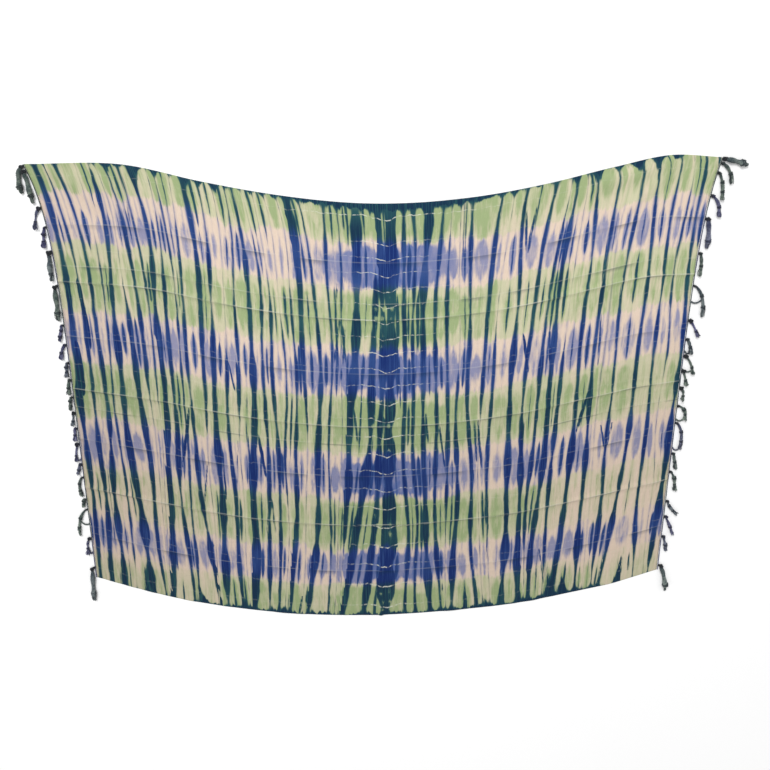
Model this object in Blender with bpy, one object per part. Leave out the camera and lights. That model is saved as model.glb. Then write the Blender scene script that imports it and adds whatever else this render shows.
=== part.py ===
"""A tie-dyed sarong laid out flat on a surface, at its real size, in metres with +Z up.

The cloth is one wide rectangle of thin rayon. It lies as if it had been let down from two hold points on its
upper edge: that edge dips between them, the lower edge bows, and the two upper corners flare. A tasselled
fringe runs down each short side. Each fringe is a narrow backing strip that lies just outside the cloth's
edge, with the tassels grown out of it.

The outline is drawn in a drawing frame, +X to the right and +Y towards the upper edge. The whole sarong is
then centred on the origin, standing on z = 0.
"""

from collections import namedtuple

import bmesh
import bpy
import numpy as np
from mathutils import Vector

# Cloth
CLOTH_WIDTH = 1.60
WALL = 0.0012
HEM_WALL = 0.0022
HEM_WIDTH = 0.007
HEM_STEP = 0.002

# The upper and lower edges, a row for each place across the cloth (0 is the left side, 1 the right side)
EdgeRow = namedtuple("EdgeRow", "across upper lower")
EDGES = (
    EdgeRow(0.000, 0.559, -0.574),
    EdgeRow(0.145, 0.557, -0.644),
    EdgeRow(0.250, 0.519, -0.675),
    EdgeRow(0.350, 0.489, -0.693),
    EdgeRow(0.500, 0.466, -0.698),
    EdgeRow(0.650, 0.482, -0.680),
    EdgeRow(0.750, 0.512, -0.659),
    EdgeRow(0.850, 0.553, -0.623),
    EdgeRow(0.928, 0.580, -0.590),
    EdgeRow(1.000, 0.575, -0.549),
)

# The two sides: nearly straight, with the upper corner pulled outwards over a short way down
SideEdge = namedtuple("SideEdge", "x flare flare_depth")
LEFT_SIDE = SideEdge(x=-0.826, flare=-0.052, flare_depth=0.10)
RIGHT_SIDE = SideEdge(x=0.777, flare=0.040, flare_depth=0.13)

# Long soft folds left by packing, as places down and across the cloth, from 0 to 1
PACKING_FOLDS_DOWN = (0.25, 0.50, 0.75)
PACKING_FOLD_HEIGHT = 0.0030
PACKING_FOLD_HALF_WIDTH = 0.010
CENTRE_FOLD_ACROSS = 0.508
CENTRE_FOLD_START = 0.48
CENTRE_FOLD_RISE = 0.125
CENTRE_FOLD_HEIGHT = 0.0035

# Short drag folds, a row for each: its ends across and down, its height and its half-width
DragFold = namedtuple("DragFold", "across down to_across to_down height half_width")
DRAG_FOLDS = (
    DragFold(0.035, 0.015, 0.085, 0.080, 0.0045, 0.024),
    DragFold(0.065, 0.030, 0.115, 0.050, 0.0040, 0.022),
    DragFold(0.830, 0.030, 0.925, 0.022, 0.0060, 0.026),
    DragFold(0.885, 0.090, 0.930, 0.040, 0.0045, 0.024),
)

# Cells of the cloth's grid, and how near, in cells, an even line may lie to one of a fold or a tassel's root
CELLS_ACROSS = 56
CELLS_DOWN = 26
LINE_CLEARANCE = 0.6

# Fringe
SEAM_GAP = 0.0003
STRIP_WIDTH = 0.004
ROOT_WIDTH = 0.005
FLOOR_CLEARANCE = 0.0004

# A strand leaves the strip straight outwards, and then turns down the edge. It lies a little flattened.
TURN_OUT = 0.0035
TURN_DOWN = 0.0012
DROP_POWER = 1.3
STRAND_CLEARANCE = 0.001
STRAND_FLATNESS = 0.75
STRAND_STATIONS = (0.14, 0.28, 0.42, 0.56, 0.70, 0.84, 0.94, 1.0)

# The half-width of a strand at each of its stations, a row for each form of tassel
FORMS = {
    "cord": (0.0024, 0.0034, 0.0036, 0.0036, 0.0038, 0.0046, 0.0050, 0.0030),
    "drop": (0.0024, 0.0036, 0.0034, 0.0024, 0.0024, 0.0054, 0.0066, 0.0036),
    "knot": (0.0024, 0.0030, 0.0052, 0.0052, 0.0030, 0.0046, 0.0052, 0.0030),
    "twist": (0.0028, 0.0046, 0.0052, 0.0056, 0.0052, 0.0056, 0.0050, 0.0032),
}

# Tassels, a row for each: how far down the edge its root is, how far its tip hangs below the root, how far
# out from the cloth it is half way and at its tip, and its form
Tassel = namedtuple("Tassel", "down drop middle tip form")
LEFT_TASSELS = (
    Tassel(0.005, 0.066, 0.028, 0.037, "twist"),
    Tassel(0.016, 0.078, 0.013, 0.017, "twist"),
    Tassel(0.103, 0.054, 0.022, 0.029, "drop"),
    Tassel(0.150, 0.052, 0.014, 0.018, "knot"),
    Tassel(0.211, 0.074, 0.012, 0.014, "twist"),
    Tassel(0.296, 0.092, 0.010, 0.014, "twist"),
    Tassel(0.398, 0.043, 0.012, 0.018, "knot"),
    Tassel(0.450, 0.040, 0.016, 0.019, "cord"),
    Tassel(0.498, 0.038, 0.010, 0.011, "knot"),
    Tassel(0.545, 0.040, 0.011, 0.010, "cord"),
    Tassel(0.592, 0.036, 0.012, 0.010, "knot"),
    Tassel(0.636, 0.036, 0.010, 0.011, "drop"),
    Tassel(0.680, 0.036, 0.010, 0.010, "cord"),
    Tassel(0.724, 0.052, 0.013, 0.015, "drop"),
    Tassel(0.784, 0.030, 0.011, 0.014, "cord"),
    Tassel(0.822, 0.058, 0.016, 0.010, "knot"),
    Tassel(0.888, 0.022, 0.010, 0.010, "knot"),
    Tassel(0.918, 0.082, 0.027, 0.031, "knot"),
    Tassel(1.008, 0.048, 0.015, 0.011, "drop"),
    Tassel(1.100, 0.108, 0.012, 0.014, "twist"),
)
RIGHT_TASSELS = (
    Tassel(0.004, 0.014, 0.036, 0.070, "twist"),
    Tassel(0.014, 0.050, 0.031, 0.043, "cord"),
    Tassel(0.036, 0.066, 0.022, 0.031, "knot"),
    Tassel(0.090, 0.053, 0.026, 0.034, "cord"),
    Tassel(0.145, 0.074, 0.016, 0.018, "twist"),
    Tassel(0.230, 0.058, 0.013, 0.011, "cord"),
    Tassel(0.311, 0.082, 0.030, 0.034, "knot"),
    Tassel(0.401, 0.044, 0.020, 0.032, "drop"),
    Tassel(0.451, 0.040, 0.015, 0.018, "cord"),
    Tassel(0.495, 0.050, 0.023, 0.032, "drop"),
    Tassel(0.536, 0.040, 0.013, 0.018, "drop"),
    Tassel(0.583, 0.034, 0.014, 0.010, "drop"),
    Tassel(0.632, 0.040, 0.024, 0.022, "knot"),
    Tassel(0.679, 0.078, 0.022, 0.020, "knot"),
    Tassel(0.768, 0.046, 0.012, 0.016, "cord"),
    Tassel(0.821, 0.056, 0.018, 0.020, "knot"),
    Tassel(0.909, 0.040, 0.014, 0.036, "knot"),
    Tassel(0.956, 0.056, 0.018, 0.032, "cord"),
    Tassel(1.018, 0.046, 0.013, 0.018, "cord"),
    Tassel(1.108, 0.084, 0.021, 0.030, "twist"),
)


def smooth_through(column, across):
    """One column of EDGES at each place across, on a smooth curve through the rows.

    Between two rows the value is a cubic whose slope at each row is that of the line through its neighbours.
    """
    at = np.array([row.across for row in EDGES])
    value = np.array([getattr(row, column) for row in EDGES])
    slope = np.gradient(value, at)
    across = np.asarray(across, float)
    span = np.clip(np.searchsorted(at, across, side="right") - 1, 0, len(at) - 2)
    width = at[span + 1] - at[span]
    t = (across - at[span]) / width
    return (
        value[span] * (1 + 2 * t) * (1 - t) ** 2
        + value[span + 1] * t**2 * (3 - 2 * t)
        + width * slope[span] * t * (1 - t) ** 2
        - width * slope[span + 1] * t**2 * (1 - t)
    )


def side_x(side, down):
    """A side edge's x: its straight line, plus the flare, which dies away exponentially down the cloth."""
    return side.x + side.flare * np.exp(-np.asarray(down, float) / side.flare_depth)


def cloth_point(across, down):
    """The place in the drawing frame of the cloth's point at across and down, which both run from 0 to 1.

    x goes evenly from one side edge to the other, and y evenly from the upper edge to the lower one.
    """
    left = side_x(LEFT_SIDE, down)
    right = side_x(RIGHT_SIDE, down)
    upper = smooth_through("upper", across)
    lower = smooth_through("lower", across)
    return left + across * (right - left), upper + down * (lower - upper)


def cloth_height():
    """The height of the cloth in the middle, from its upper edge to its lower one."""
    middle = 0.5
    return float(smooth_through("upper", middle) - smooth_through("lower", middle))


def ridge(distance, half_width):
    """A soft ridge's share of its height: 1 on its crest, 0 at a distance of half_width and beyond."""
    return np.clip(1 - (np.abs(distance) / half_width) ** 2, 0, 1) ** 2


def fold_lift(across, down):
    """How far the folds lift the cloth off the surface at each point: the highest of the folds there."""
    height = cloth_height()
    lift = np.zeros(np.shape(across))
    for fold in PACKING_FOLDS_DOWN:
        share = ridge((down - fold) * height, PACKING_FOLD_HALF_WIDTH)
        lift = np.maximum(lift, PACKING_FOLD_HEIGHT * share)
    share = ridge((across - CENTRE_FOLD_ACROSS) * CLOTH_WIDTH, PACKING_FOLD_HALF_WIDTH)
    share = share * np.clip((down - CENTRE_FOLD_START) / CENTRE_FOLD_RISE, 0, 1)
    lift = np.maximum(lift, CENTRE_FOLD_HEIGHT * share)
    for fold in DRAG_FOLDS:
        along = np.array([(fold.to_across - fold.across) * CLOTH_WIDTH, (fold.to_down - fold.down) * height])
        from_start = np.stack([(across - fold.across) * CLOTH_WIDTH, (down - fold.down) * height], axis=-1)
        place = np.clip(from_start @ along / (along @ along), 0, 1)
        distance = np.linalg.norm(from_start - place[..., None] * along, axis=-1)
        lift = np.maximum(lift, fold.height * ridge(distance, fold.half_width))
    return lift


def wall_thickness(down):
    """The cloth's thickness at each place down: the plain wall, and twice rolled along the two hems."""
    from_hem = np.minimum(down, 1 - down) * cloth_height()
    return np.where(from_hem < HEM_WIDTH - HEM_STEP / 2, HEM_WALL, WALL)


def grid_lines(cells, extra):
    """Evenly spaced lines from 0 to 1, and the extra ones in place of any even line that lies near them."""
    even = np.linspace(0, 1, cells + 1)
    extra = np.array(sorted(extra))
    far = np.abs(even[:, None] - extra[None, :]).min(axis=1) > LINE_CLEARANCE / cells
    return np.unique(np.concatenate([even[far | (even == 0) | (even == 1)], extra]))


def cloth_rows():
    """The places down the cloth of its grid's rows: even ones, and those of the hems and packing folds."""
    height = cloth_height()
    hem = HEM_WIDTH / height
    hem_step = HEM_STEP / height
    fold = PACKING_FOLD_HALF_WIDTH / height
    lines = [hem - hem_step, hem, 1 - hem, 1 - hem + hem_step]
    for crest in PACKING_FOLDS_DOWN:
        lines += [crest - fold, crest, crest + fold]
    return grid_lines(CELLS_DOWN, lines)


def cloth_columns():
    """The places across the cloth of its grid's columns: even ones, and those of the centre fold."""
    crest = CENTRE_FOLD_ACROSS
    fold = PACKING_FOLD_HALF_WIDTH / CLOTH_WIDTH
    return grid_lines(CELLS_ACROSS, [crest - fold, crest, crest + fold])


def sheet_grid(columns, rows):
    """A bmesh holding an open grid of columns by rows points, and its points in row order."""
    mesh = bmesh.new()
    bmesh.ops.create_grid(mesh, x_segments=columns - 1, y_segments=rows - 1, size=1)
    points = sorted(mesh.verts, key=lambda vert: (-round(vert.co.y, 6), round(vert.co.x, 6)))
    return mesh, points


def add_underside(mesh, underside):
    """Closes an open sheet into a wall, by extruding its faces down to the heights of the underside."""
    above = list(mesh.verts)
    made = bmesh.ops.extrude_face_region(mesh, geom=mesh.faces[:])
    below = {}
    for vert in made["geom"]:
        if isinstance(vert, bmesh.types.BMVert):
            below[tuple(vert.co)] = vert
    for vert, height in zip(above, underside):
        below[tuple(vert.co)].co.z = height
    bmesh.ops.recalc_face_normals(mesh, faces=mesh.faces[:])


def make_object(name, mesh, material, collection):
    """An object of this name in the collection, from a bmesh, with one material."""
    data = bpy.data.meshes.new(name)
    mesh.to_mesh(data)
    mesh.free()
    data.materials.append(material)
    thing = bpy.data.objects.new(name, data)
    collection.objects.link(thing)
    return thing


def make_material(name, colour, roughness):
    """A plain Principled material of this colour."""
    material = bpy.data.materials.new(name)
    material.use_nodes = True
    shader = material.node_tree.nodes["Principled BSDF"]
    shader.inputs["Base Color"].default_value = (*colour, 1.0)
    shader.inputs["Roughness"].default_value = roughness
    shader.inputs["Metallic"].default_value = 0.0
    return material


def make_cloth(collection):
    """The cloth: a thin wall over the whole outline, lifted along its folds and thicker at its two hems."""
    rows = cloth_rows()
    columns = cloth_columns()
    down, across = np.meshgrid(rows, columns, indexing="ij")
    x, y = cloth_point(across, down)
    lift = fold_lift(across, down)
    top = lift + wall_thickness(down)
    mesh, points = sheet_grid(len(columns), len(rows))
    for vert, place in zip(points, np.stack([x, y, top], axis=-1).reshape(-1, 3)):
        vert.co = place
    underside = dict(zip(points, lift.reshape(-1)))
    add_underside(mesh, [underside[vert] for vert in mesh.verts])
    material = make_material("sarong cloth", (0.45, 0.48, 0.42), 0.8)
    return make_object("cloth_panel", mesh, material, collection)


def strand_path(tassel):
    """The strand's points as places (down, out), one for each station t.

    Down grows as t to the power DROP_POWER. Out runs on the parabola through the strip's face, middle and
    tip. The first point lies straight out from the strip, and no later one comes nearer to it than its own
    half-width.
    """
    half_widths = FORMS[tassel.form]
    face = SEAM_GAP + STRIP_WIDTH
    points = [(tassel.down + TURN_DOWN, face + TURN_OUT)]
    for t, half_width in zip(STRAND_STATIONS[1:], half_widths[1:]):
        parabola = face + t * (4 * (tassel.middle - face) - (tassel.tip - face))
        parabola += 2 * t * t * ((tassel.tip - face) - 2 * (tassel.middle - face))
        out = max(parabola, face + half_width + STRAND_CLEARANCE)
        points.append((tassel.down + tassel.drop * t**DROP_POWER, out))
    return points


def nearest_face(mesh, place):
    """The face whose middle lies nearest to a place."""
    place = Vector(place)
    return min(mesh.faces, key=lambda face: (face.calc_center_median() - place).length)


def grow_strand(mesh, face, tassel, place_of, hand):
    """Grows a tassel out of one face of the strip, by extruding it from section to section.

    place_of turns (down, out) into x and y. Each section is a flattened square across the path, held just
    clear of the floor. hand is -1 on the left side of the cloth and 1 on the right.
    """
    path = np.array([place_of(down, out) for down, out in strand_path(tassel)])
    corners = np.array([vert.co for vert in face.verts])
    root = corners.mean(axis=0)
    nearer_upper_edge = corners[:, 1] > root[1]
    top = corners[:, 2] > root[2]
    tangents = np.gradient(np.vstack([root[:2], path]), axis=0)[1:]
    tangents /= np.linalg.norm(tangents, axis=1, keepdims=True)
    for centre, tangent, half_width in zip(path, tangents, FORMS[tassel.form]):
        side = hand * np.array([-tangent[1], tangent[0]])
        face = bmesh.ops.extrude_discrete_faces(mesh, faces=[face])["faces"][0]
        for vert, is_upper, is_top in zip(face.verts, nearer_upper_edge, top):
            vert.co.xy = centre + side * (half_width if is_upper else -half_width)
            vert.co.z = FLOOR_CLEARANCE + (2 * half_width * STRAND_FLATNESS if is_top else 0)


def make_fringe(name, side, tassels, across, collection):
    """A fringe: a strip along one side edge of the cloth, and the tassels that grow out of it."""
    hand = 1 if across else -1
    upper = float(smooth_through("upper", across))
    length = upper - float(smooth_through("lower", across))
    rows = cloth_rows() * length

    def place_of(down, out):
        edge = np.interp(down, rows, side_x(side, rows / length))
        return edge + hand * out, upper - down

    roots = np.array([tassel.down for tassel in tassels])
    clear_of_roots = np.abs(rows[:, None] - roots).min(axis=1) > ROOT_WIDTH * LINE_CLEARANCE
    stations = np.concatenate([rows[clear_of_roots], roots - ROOT_WIDTH / 2, roots + ROOT_WIDTH / 2])
    stations.sort()

    inner, outer = SEAM_GAP, SEAM_GAP + STRIP_WIDTH
    mesh, points = sheet_grid(2, len(stations))
    outs = (inner, outer) if across else (outer, inner)
    for vert, (down, out) in zip(points, [(down, out) for down in stations for out in outs]):
        vert.co = (*place_of(down, out), WALL)
    add_underside(mesh, [0.0] * len(mesh.verts))
    for tassel in tassels:
        root = nearest_face(mesh, (*place_of(tassel.down, outer), WALL / 2))
        grow_strand(mesh, root, tassel, place_of, hand)
    bmesh.ops.recalc_face_normals(mesh, faces=mesh.faces[:])
    material = make_material(name.replace("_", " "), (0.07, 0.09, 0.12), 0.85)
    return make_object(name, mesh, material, collection)


def centre_on_origin(things):
    """Moves every mesh so that the whole sarong's box is centred over the origin and stands on z = 0."""
    corners = np.array([vert.co for thing in things for vert in thing.data.vertices])
    low, high = corners.min(axis=0), corners.max(axis=0)
    shift = np.array([(low[0] + high[0]) / 2, (low[1] + high[1]) / 2, low[2]])
    for thing in things:
        for vert in thing.data.vertices:
            vert.co = np.array(vert.co) - shift


def main():
    for thing in list(bpy.data.objects):
        bpy.data.objects.remove(thing, do_unlink=True)
    collection = bpy.data.collections.new("sarong")
    bpy.context.scene.collection.children.link(collection)
    things = [
        make_cloth(collection),
        make_fringe("fringe_left", LEFT_SIDE, LEFT_TASSELS, 0, collection),
        make_fringe("fringe_right", RIGHT_SIDE, RIGHT_TASSELS, 1, collection),
    ]
    centre_on_origin(things)


main()
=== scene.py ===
"""A tie-dyed sarong laid out flat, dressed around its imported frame.

The file is laid out as an add-on: settings, operators and a sidebar panel. Run as a script it builds
everything in order. Lengths are in metres.

Two frames are used. The drawing frame is the one in which the sarong's outline was drawn. The row frame is
the CAD's own. DRAWING_TO_ROW is the shift from the first to the second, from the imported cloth's box.
Places on the cloth are given as across, 0 at the left side and 1 at the right, and down, 0 at the upper edge
and 1 at the lower one.
"""

from collections import namedtuple

import bpy
import numpy as np
from mathutils import Matrix, Vector


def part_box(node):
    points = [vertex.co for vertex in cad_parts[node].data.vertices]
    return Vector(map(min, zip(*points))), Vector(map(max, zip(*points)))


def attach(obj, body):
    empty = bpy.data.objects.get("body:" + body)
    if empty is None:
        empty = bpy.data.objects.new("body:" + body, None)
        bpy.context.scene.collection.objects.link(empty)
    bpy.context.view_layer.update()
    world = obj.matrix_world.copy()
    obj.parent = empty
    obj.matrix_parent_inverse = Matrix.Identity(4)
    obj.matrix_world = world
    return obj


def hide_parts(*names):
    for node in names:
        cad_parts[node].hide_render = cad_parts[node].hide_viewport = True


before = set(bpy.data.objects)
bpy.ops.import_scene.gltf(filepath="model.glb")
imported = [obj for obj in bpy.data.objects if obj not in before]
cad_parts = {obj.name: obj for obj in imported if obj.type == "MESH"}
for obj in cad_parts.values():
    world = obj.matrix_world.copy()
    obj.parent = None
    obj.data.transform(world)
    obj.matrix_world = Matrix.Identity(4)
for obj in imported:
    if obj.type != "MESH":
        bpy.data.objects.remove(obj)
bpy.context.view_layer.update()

bl_info = {
    "name": "Tie-dyed sarong",
    "version": (1, 0, 0),
    "blender": (4, 5, 0),
    "location": "View3D > Sidebar > Sarong",
    "description": "Builds a tie-dyed sarong, laid out flat, with a tasselled fringe down each short side",
    "category": "Add Mesh",
}

MILLIMETRE = 0.001
UP = np.array([0.0, 0.0, 1.0])

# The cloth's cut, before it was laid out
CUT_WIDTH = 1.60
CUT_HEIGHT = 1.155
CUT = np.array([CUT_WIDTH, CUT_HEIGHT])

# The upper and lower edges in the drawing frame, a row for each place across the cloth
EdgeRow = namedtuple("EdgeRow", "across upper lower")
EDGES = [EdgeRow(*row) for row in (
    (0.000, 0.559, -0.574), (0.145, 0.557, -0.644), (0.250, 0.519, -0.675), (0.350, 0.489, -0.693),
    (0.500, 0.466, -0.698), (0.650, 0.482, -0.680), (0.750, 0.512, -0.659), (0.850, 0.553, -0.623),
    (0.928, 0.580, -0.590), (1.000, 0.575, -0.549),
)]

# At how many places across the solids' upper edge was worked out
OUTLINE_PLACES = 57

# The two sides in the drawing frame: nearly straight, with the upper corner pulled outwards
SideEdge = namedtuple("SideEdge", "x flare flare_depth")
LEFT_SIDE = SideEdge(x=-0.826, flare=-0.052, flare_depth=0.10)
RIGHT_SIDE = SideEdge(x=0.777, flare=0.040, flare_depth=0.13)

# Folds left by packing, as on the solids
PACKING_FOLDS_DOWN = (0.25, 0.50, 0.75)
PACKING_FOLD_HEIGHT = 0.0030
FINE_FOLDS_DOWN = (0.125, 0.215, 0.375, 0.545, 0.625, 0.875)
FINE_FOLD_HEIGHT = 0.0009
CREST_HEIGHT = 0.0012
CREST_HALF_WIDTH = 0.0030
FOLD_HALF_WIDTH = 0.010
CENTRE_FOLD_ACROSS = 0.508
CENTRE_FOLD_RISE = (0.48, 0.605)
CENTRE_FOLD_HEIGHT = 0.0035

# The lengths of the low waves between the folds
SLACK_WAVELENGTHS = (0.23, 0.11, 0.061)

# How far the floor lies below the cloth
FLOOR_DEPTH = 0.0002

# The rows of the cloth's grid that aren't evenly spaced: millimetres from a fold, and places near the two
# hems. No even row comes closer to them than this share of the cloth's height
ROWS_AT_PACKING_FOLD = (-10, -6, -2.2, 0, 2.2, 6, 10)
ROWS_AT_FINE_FOLD = (-2.2, 0, 2.2)
ROWS_AT_HEMS = (0.002, 0.005, 0.009, 0.014, 0.986, 0.991, 0.995, 0.998)
CLOSEST_ROWS = 0.0025

# Seeds of the wave noise, each the first of a run
UPPER_BORDER_SEED, RAGGED_SEED, LOWER_BORDER_SEED = 7, 8, 9
CREST_SEED, WORN_SEED, BAND_SEED, FINE_FOLD_SEED, DRIFT_SEED, FADE_SEED = 20, 30, 40, 60, 80, 90
SHADE_SEED, WANDER_SEED, UNEVEN_SEED, DEPTH_SEED = 130, 200, 500, 700

# Short drag folds, a row for each: its ends, its height and its half-width
DragFold = namedtuple("DragFold", "across down to_across to_down height half_width")
DRAG_FOLDS = [DragFold(*row) for row in (
    (0.035, 0.015, 0.085, 0.080, 0.0045, 0.024), (0.065, 0.030, 0.115, 0.050, 0.0040, 0.022),
    (0.830, 0.030, 0.925, 0.022, 0.0060, 0.026), (0.885, 0.090, 0.930, 0.040, 0.0045, 0.024),
)]

# The dye pattern. It mirrors about a fold line, where the cloth was folded before it was tied
FOLD_LINE_ACROSS = 0.515
BAND_EDGES = (0.077, 0.185, 0.309, 0.430, 0.561, 0.683, 0.810, 0.912)
PATTERN_SEED = 11

# How the middles of the lanes are dyed in a kind of band: where the oval's middle lies and how long it
# is, as shares of half the band, its least width and how much wider it can be, as shares of the lane, how
# blunt its upper end is, and how many millimetres wider the core is there. First green, then blue.
# LOWER_END is how blunt the lower end is in both, and no lane narrower than NARROWEST_CORED has a core
BandLook = namedtuple("BandLook", "middle length narrow spread upper_end core")
BAND_LOOKS = (BandLook(1.12, 1.10, 0.62, 0.38, 6.0, -0.7), BandLook(1.10, 0.86, 0.42, 0.40, 2.2, 0.4))
LOWER_END = 2.2
NARROWEST_CORED = 0.016

# Millimetres that stand for nowhere near, and how far below zero a half-width goes where a streak has
# ended
FAR_AWAY = 30.0
BLEED = 3

# The least pitch of the faint streaks between the main ones in millimetres, over how much of the cloth's
# height a streak tapers, how wide the lanes at the two sides are, and where the leaning streaks stand
# furthest out
FAINT_PITCH = 24
STREAK_TAPER = 0.07
OUTER_LANE = 0.03
FAN_REACH = 0.20
CROSSING_PAIRS = 24
CROSSING_SINGLES = 26

# How softly the dye ends, in millimetres outside and inside an edge, and how far its halo goes
MAIN_EDGE, BORDER_EDGE, CORE_EDGE, CROSSING_EDGE = (4.6, -3.4), (3.5, -2.5), (3.4, -2.4), (2.9, -2.2)
HALO = 8.5
THREADS_PER_METRE = 2400.0

# How far from a fold's crest the dye has faded pale, and from the middle of the painted shadow below it how
# far that goes
WORN_REACH = 0.0022
SHADE_REACH = 0.0024

# Pale tie lines: how far down the first one lies in metres, and for the others the number passed near the
# upper edge, how many there are to the metre there, how fast that falls down the cloth, and how far down
# they begin. Then their mean pitch, their half-width, their dip at the fold line, and how far to its
# sides they are clear, low down on the cloth and beside its upper edge
FIRST_LINE_DOWN = 0.0294
LINES_START = -2.98
LINES_PER_METRE = 27.5
LINES_SLOWING = -5.85
LINES_BEGIN = (0.085, 0.070)
LINE_PITCH = 0.040
LINE_HALF_WIDTH = 0.0017
LINE_DIP = 0.011
LINE_REACHES = (0.075, 0.19)

# Main streaks from left to right, charted, a row for each. upper, middle and lower are how many
# millimetres right of the fold line it lies near the upper edge, half way and near the lower edge, and
# the next three are its half-widths there. It runs from start to end down the cloth. swell is how much
# wider it is in the blue bands than in the green ones, as a share.
STREAK_LEVELS = (0.12, 0.50, 0.88)
Streak = namedtuple("Streak", "upper middle lower upper_half middle_half lower_half start end swell")
Streaks = namedtuple("Streaks", (*Streak._fields, "strength"))
STREAKS = [Streak(*row) for row in (
    (-804, -806, -812, 5.5, 6.5, 4.0, 0, 1, 0.4), (-776, -773, -775, 1.4, 3.4, 6.0, 0.05, 1, 0.4),
    (-748, -741, -746, 2.6, 5.0, 6.0, 0, 1, 0.4), (-713, -716, -714, 1.0, 1.6, 1.8, 0.20, 0.90, 0.3),
    (-685, -692, -675, 3.6, 7.0, 9.5, 0.03, 1, 0.6), (-663, -649, -635, 2.0, 7.5, 3.2, 0.30, 1, 0.5),
    (-638, -622, -618, 3.4, 4.4, 2.0, 0.03, 0.47, 0.4), (-608, -602, -613, 2.0, 1.3, 1.0, 0, 0.45, 0.4),
    (-583, -586, -602, 3.8, 7.5, 9.5, 0, 1, 0.5), (-552, -562, -555, 2.2, 5.0, 3.6, 0.12, 1, 0.6),
    (-531, -534, -537, 1.3, 1.7, 2.0, 0.05, 1, 0.3), (-506, -517, -487, 3.0, 2.8, 6.8, 0.12, 1, 0.5),
    (-469, -476, -479, 6.2, 3.6, 1.0, 0, 0.52, 0.4), (-438, -450, -453, 2.0, 6.5, 8.8, 0.02, 1, 0.7),
    (-404, -417, -412, 3.0, 3.2, 5.0, 0.36, 1, 0.4), (-376, -389, -392, 1.5, 3.6, 1.0, 0.05, 0.49, 0.4),
    (-349, -350, -371, 3.4, 7.5, 11.5, 0, 1, 0.4), (-322, -317, -328, 2.2, 3.4, 4.6, 0.14, 0.95, 0.4),
    (-300, -290, -299, 2.2, 4.0, 3.0, 0.22, 1, 0.4), (-274, -263, -279, 1.3, 2.0, 2.2, 0.30, 0.66, 0.4),
    (-243, -236, -261, 2.0, 2.8, 7.6, 0.22, 0.97, 0.4), (-219, -212, -228, 8.8, 2.0, 1.0, 0, 0.50, 0.4),
    (-185, -174, -206, 1.6, 6.0, 7.2, 0.03, 1, 0.5), (-142, -146, -158, 2.6, 1.8, 1.7, 0, 1, 0.4),
    (-112, -116, -138, 1.5, 1.4, 1.4, 0.04, 0.30, 0.3), (-70, -92, -124, 9.8, 10.5, 5.0, 0, 0.78, 0.4),
    (-27, -40, -100, 7.6, 8.4, 11.5, 0.17, 1, 0.5), (-11, -10, -46, 11.0, 7.0, 10.0, 0, 1, 0.9),
    (13, 12, 5, 16.0, 15.5, 25.0, 0, 1, 0.3), (47, 54, 61, 4.2, 4.0, 4.4, 0.03, 1, 0.5),
    (71, 77, 88, 2.8, 3.8, 3.2, 0, 1, 0.4), (101, 102, 122, 8.2, 4.8, 8.4, 0, 1, 0.5),
    (135, 134, 152, 3.6, 4.0, 4.4, 0, 1, 0.8), (162, 165, 174, 3.2, 4.0, 2.0, 0.12, 0.75, 0.4),
    (186, 194, 196, 2.0, 3.2, 6.8, 0.40, 1, 0.4), (210, 226, 251, 3.2, 4.2, 4.0, 0.02, 1, 0.5),
    (271, 254, 272, 5.0, 3.0, 3.0, 0.04, 0.47, 0.4), (296, 281, 293, 2.0, 3.9, 2.4, 0.33, 0.78, 0.4),
    (336, 334, 338, 3.0, 6.0, 7.2, 0, 1, 0.5), (390, 370, 378, 3.6, 3.8, 8.2, 0, 1, 0.6),
    (430, 402, 396, 2.8, 4.0, 3.0, 0.09, 0.84, 0.4), (450, 432, 416, 4.4, 6.0, 6.4, 0.04, 1, 0.3),
    (476, 459, 452, 1.6, 5.4, 3.2, 0.40, 0.90, 0.8), (508, 508, 490, 2.6, 4.6, 7.0, 0, 1, 0.4),
    (553, 545, 544, 2.5, 4.2, 5.0, 0.03, 1, 0.4), (605, 600, 595, 2.9, 2.0, 5.2, 0, 0.92, 0.4),
    (654, 660, 628, 2.7, 4.0, 4.8, 0, 1, 0.5), (698, 700, 705, 2.1, 3.0, 3.4, 0, 0.94, 0.4),
    (726, 732, 736, 1.7, 1.5, 1.2, 0.10, 0.44, 0.3), (757, 768, 759, 2.9, 4.4, 7.8, 0, 0.96, 0.4),
)]

# Dark wedges that rise from the lower edge, a row for each: how many millimetres right of the fold line
# its tip and the middle of its foot lie, how high its tip stands above the edge, and its half-width at
# the edge
Wedge = namedtuple("Wedge", "tip foot height half_width")
WEDGES = [Wedge(*row) for row in (
    (-688, -683, 82, 7), (-532, -519, 40, 14), (-402, -402, 26, 9), (-327, -327, 18, 9),
    (-212, -211, 20, 8), (225, 233, 145, 7), (290, 294, 30, 10), (384, 388, 34, 14), (462, 473, 105, 13),
    (506, 512, 80, 17), (678, 663, 108, 11),
)]

# Dark wedges that hang from the upper edge, in the same way
UPPER_WEDGES = [Wedge(*row) for row in (
    (-638, -638, 16, 14), (-612, -612, 8, 12), (-578, -572, 30, 13), (-529, -529, 14, 12),
    (-458, -458, 24, 11), (-428, -428, 12, 11), (-392, -394, 26, 12), (450, 448, 24, 10),
    (505, 500, 22, 12), (548, 545, 12, 12), (594, 586, 28, 18), (634, 637, 22, 15), (672, 676, 14, 13),
)]

# Leaning streaks charted, a row for each: its ends, in millimetres right of the fold line and as
# shares down the cloth, and its half-width in millimetres
Leaning = namedtuple("Leaning", "place down foot foot_down half_width")
LEANING = [Leaning(*row) for row in (
    (545, 0.465, 508, 0.600, 3.4), (-518, 0.485, -556, 0.680, 3.6), (-345, 0.52, -318, 0.66, 3.0),
    (352, 0.30, 380, 0.42, 2.6), (-802, 0.37, -800, 0.53, 9.0), (-776, 0.22, -764, 0.42, 5.0),
)]

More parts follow.
